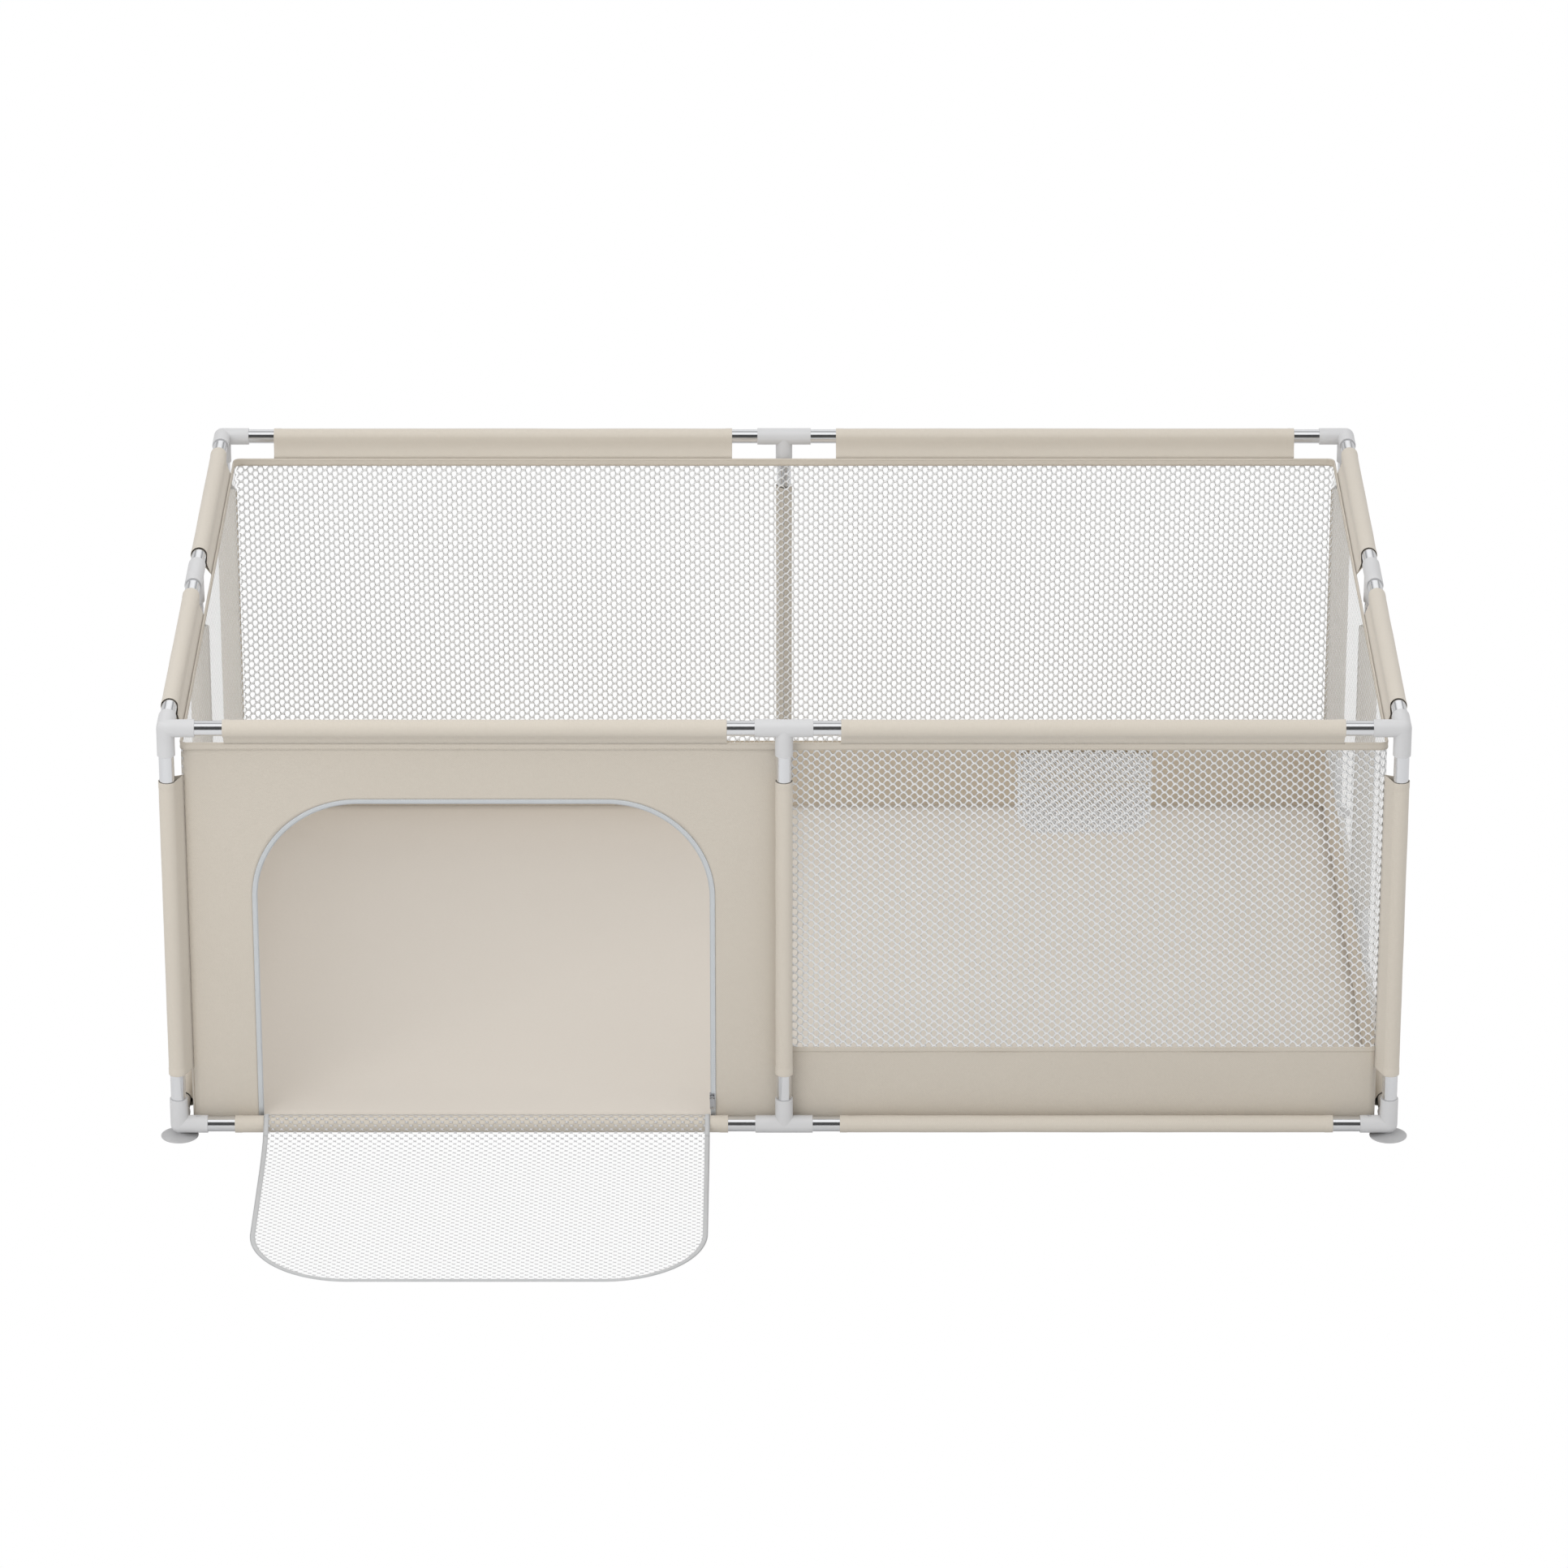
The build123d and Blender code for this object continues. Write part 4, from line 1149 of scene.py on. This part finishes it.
pocket_lining = pocket_layer("toy_pocket_back", pocket_high.z, 0.0, pocket_back)
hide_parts("toy_pocket")
pouch_y, pouch_top = pocket_back + 2 * MM, pocket_high.z - 8 * MM
pocket_layer("toy_pocket_pouch", pouch_top, pouch_depth, pouch_y)
points = []
for up in (-3.5, -2.5, 1.5, 2.5):
    for k in range(-14, 15):
        out = pouch_y + pouch_depth * belly(1) * (1 - abs(k / 14) ** 6)
        points.append((pocket_x + pocket_half * k / 14, out, pouch_top + up * MM))
new_piece("toy_pocket_hem", points, grid_faces(4, 29), hem_tape, thick=0.9 * MM)
seam_y, seam_half = front_y + 0.75 * MM, pocket_half - 6 * MM
points = []
for up in (-0.9, 0, 0.9):
    points += [(pocket_x + seam_half * k / 14, seam_y, pocket_mouth + up * MM) for k in range(-14, 15)]
new_piece("toy_pocket_seam", points, grid_faces(3, 29), beige_thread, thick=0.5 * MM)


# ---------------------------------------------------------------- sewing
ring_path = ring_stations(0, ring_length, 12 * MM)[:-1]


def ring_stitch_line(z, out, start=None, end=None):
    """A line along the walls at a height and at a distance out from their middle."""
    stations = ring_path if start is None else ring_stations(start, end, 12 * MM)
    return [(x + n[0] * out, y + n[1] * out, z) for x, y, n in (ring_place(s) for s in stations)]


binding_lines = [
    (ring_stitch_line(wall_high + h * MM, o * MM), True) for h in (1.8, 9.6) for o in (1.35, -1.35)
]
stitches("binding_seams", binding_lines, (0, 0, 1))
skirt_lines = [
    (ring_stitch_line(skirt_high - h * MM, o * MM, 4 * MM, skirt_end - 2 * MM), False)
    for h in (1.8, 8) for o in (0.75, -0.75)
]
stitches("skirt_seams", skirt_lines, (0, 0, 1))

for made in helpers:
    bpy.data.objects.remove(made)

# ---------------------------------------------------------------- studio
floor_z = -0.5 * MM
floor_mesh = bpy.data.meshes.new("studio_floor")
floor_points = [(x, y, floor_z) for x, y in ((-60, -40), (60, -40), (60, 80), (-60, 80))]
floor_mesh.from_pydata(floor_points, [], [(0, 1, 2, 3)])
floor = bpy.data.objects.new("studio_floor", floor_mesh)
bpy.context.scene.collection.objects.link(floor)
paper = bpy.data.materials.new("studio_paper")
paper.use_nodes = True
paper_tree = paper.node_tree
paper_tree.nodes.clear()
lamp = put(paper_tree, "ShaderNodeLightPath").outputs
shade = put(paper_tree, "ShaderNodeBsdfDiffuse", {"Color": linear("E0E0E0")})
white = put(paper_tree, "ShaderNodeEmission", {"Strength": 1.0})
seen = put(paper_tree, "ShaderNodeMixShader", {0: lamp["Is Camera Ray"], 1: shade, 2: white})
put(paper_tree, "ShaderNodeOutputMaterial", {"Surface": seen})
floor_mesh.materials.append(paper)

world = bpy.data.worlds.new("studio")
bpy.context.scene.world = world
world.use_nodes = True
sky = world.node_tree
sky.nodes.clear()
direction = put(sky, "ShaderNodeTexCoord").outputs["Generated"]
way = put(sky, "ShaderNodeSeparateXYZ", {0: direction}).outputs


def grey_bands(first, last, between):
    """What a mirror sees, from straight down (0) to straight up (1): greys at those heights."""
    bands = put(sky, "ShaderNodeValToRGB", {0: way[2]})
    stops = bands.color_ramp.elements
    stops[0].position, stops[0].color = 0.0, (first, first, first, 1)
    stops[1].position, stops[1].color = 1.0, (last, last, last, 1)
    for where, level in between:
        stops.new(where).color = (level, level, level, 1)
    return bands


ahead = grey_bands(0.05, 1.0, ((0.74, 0.07), (0.81, 1.0)))
low_bands = ((0.10, 0.7), (0.16, 0.3), (0.26, 0.3), (0.31, 0.95), (0.44, 1.0))
high_bands = ((0.50, 0.8), (0.88, 0.8), (0.92, 0.35))
behind = grey_bands(0.6, 0.35, low_bands + high_bands)
behind_share = put(sky, "ShaderNodeMapRange", {0: way[1], 1: -0.15, 2: 0.2})
room = {0: behind_share, 6: ahead, 7: behind}
mirror = put(sky, "ShaderNodeMix", room, data_type="RGBA").outputs[2]
mirrored = put(sky, "ShaderNodeLightPath").outputs["Is Glossy Ray"]
plain = put(sky, "ShaderNodeBackground", {"Color": (0.85, 0.85, 0.85, 1)})
room_light = put(sky, "ShaderNodeBackground", {"Color": mirror, "Strength": 1.1})
both = put(sky, "ShaderNodeMixShader", {0: mirrored, 1: plain, 2: room_light})
put(sky, "ShaderNodeOutputWorld", {"Surface": both})


def softbox(name, place, aim, size, power):
    """A rectangular lamp that mirrors don't show."""
    light = bpy.data.lights.new(name, "AREA")
    light.shape, light.size, light.size_y, light.energy = "RECTANGLE", size[0], size[1], power
    made = bpy.data.objects.new(name, light)
    bpy.context.scene.collection.objects.link(made)
    made.location = place
    made.rotation_euler = (Vector(aim) - Vector(place)).to_track_quat("-Z", "Y").to_euler()
    made.visible_glossy = False


softbox("top_softbox", (-0.6, -0.4, 4.2), (0, 0.2, 0), (4.5, 3.5), 34)
softbox("front_softbox", (-2.5, -4.5, 2.6), (0, 0, 0.3), (3, 2.5), 55)

# The camera: a long lens on a 36 mm sensor, looking down from the front
camera_tilt = radians(23.5516)
camera_data = bpy.data.cameras.new("camera")
camera = bpy.data.objects.new("camera", camera_data)
bpy.context.scene.collection.objects.link(camera)
bpy.context.scene.camera = camera
camera_data.sensor_width, camera_data.lens = 36, 169.27
camera_data.clip_end = 200
camera.location = (0, -10.0862, 4.7991)
camera.rotation_euler = (pi / 2 - camera_tilt, 0, 0)
bpy.context.scene.view_settings.view_transform = "Standard"
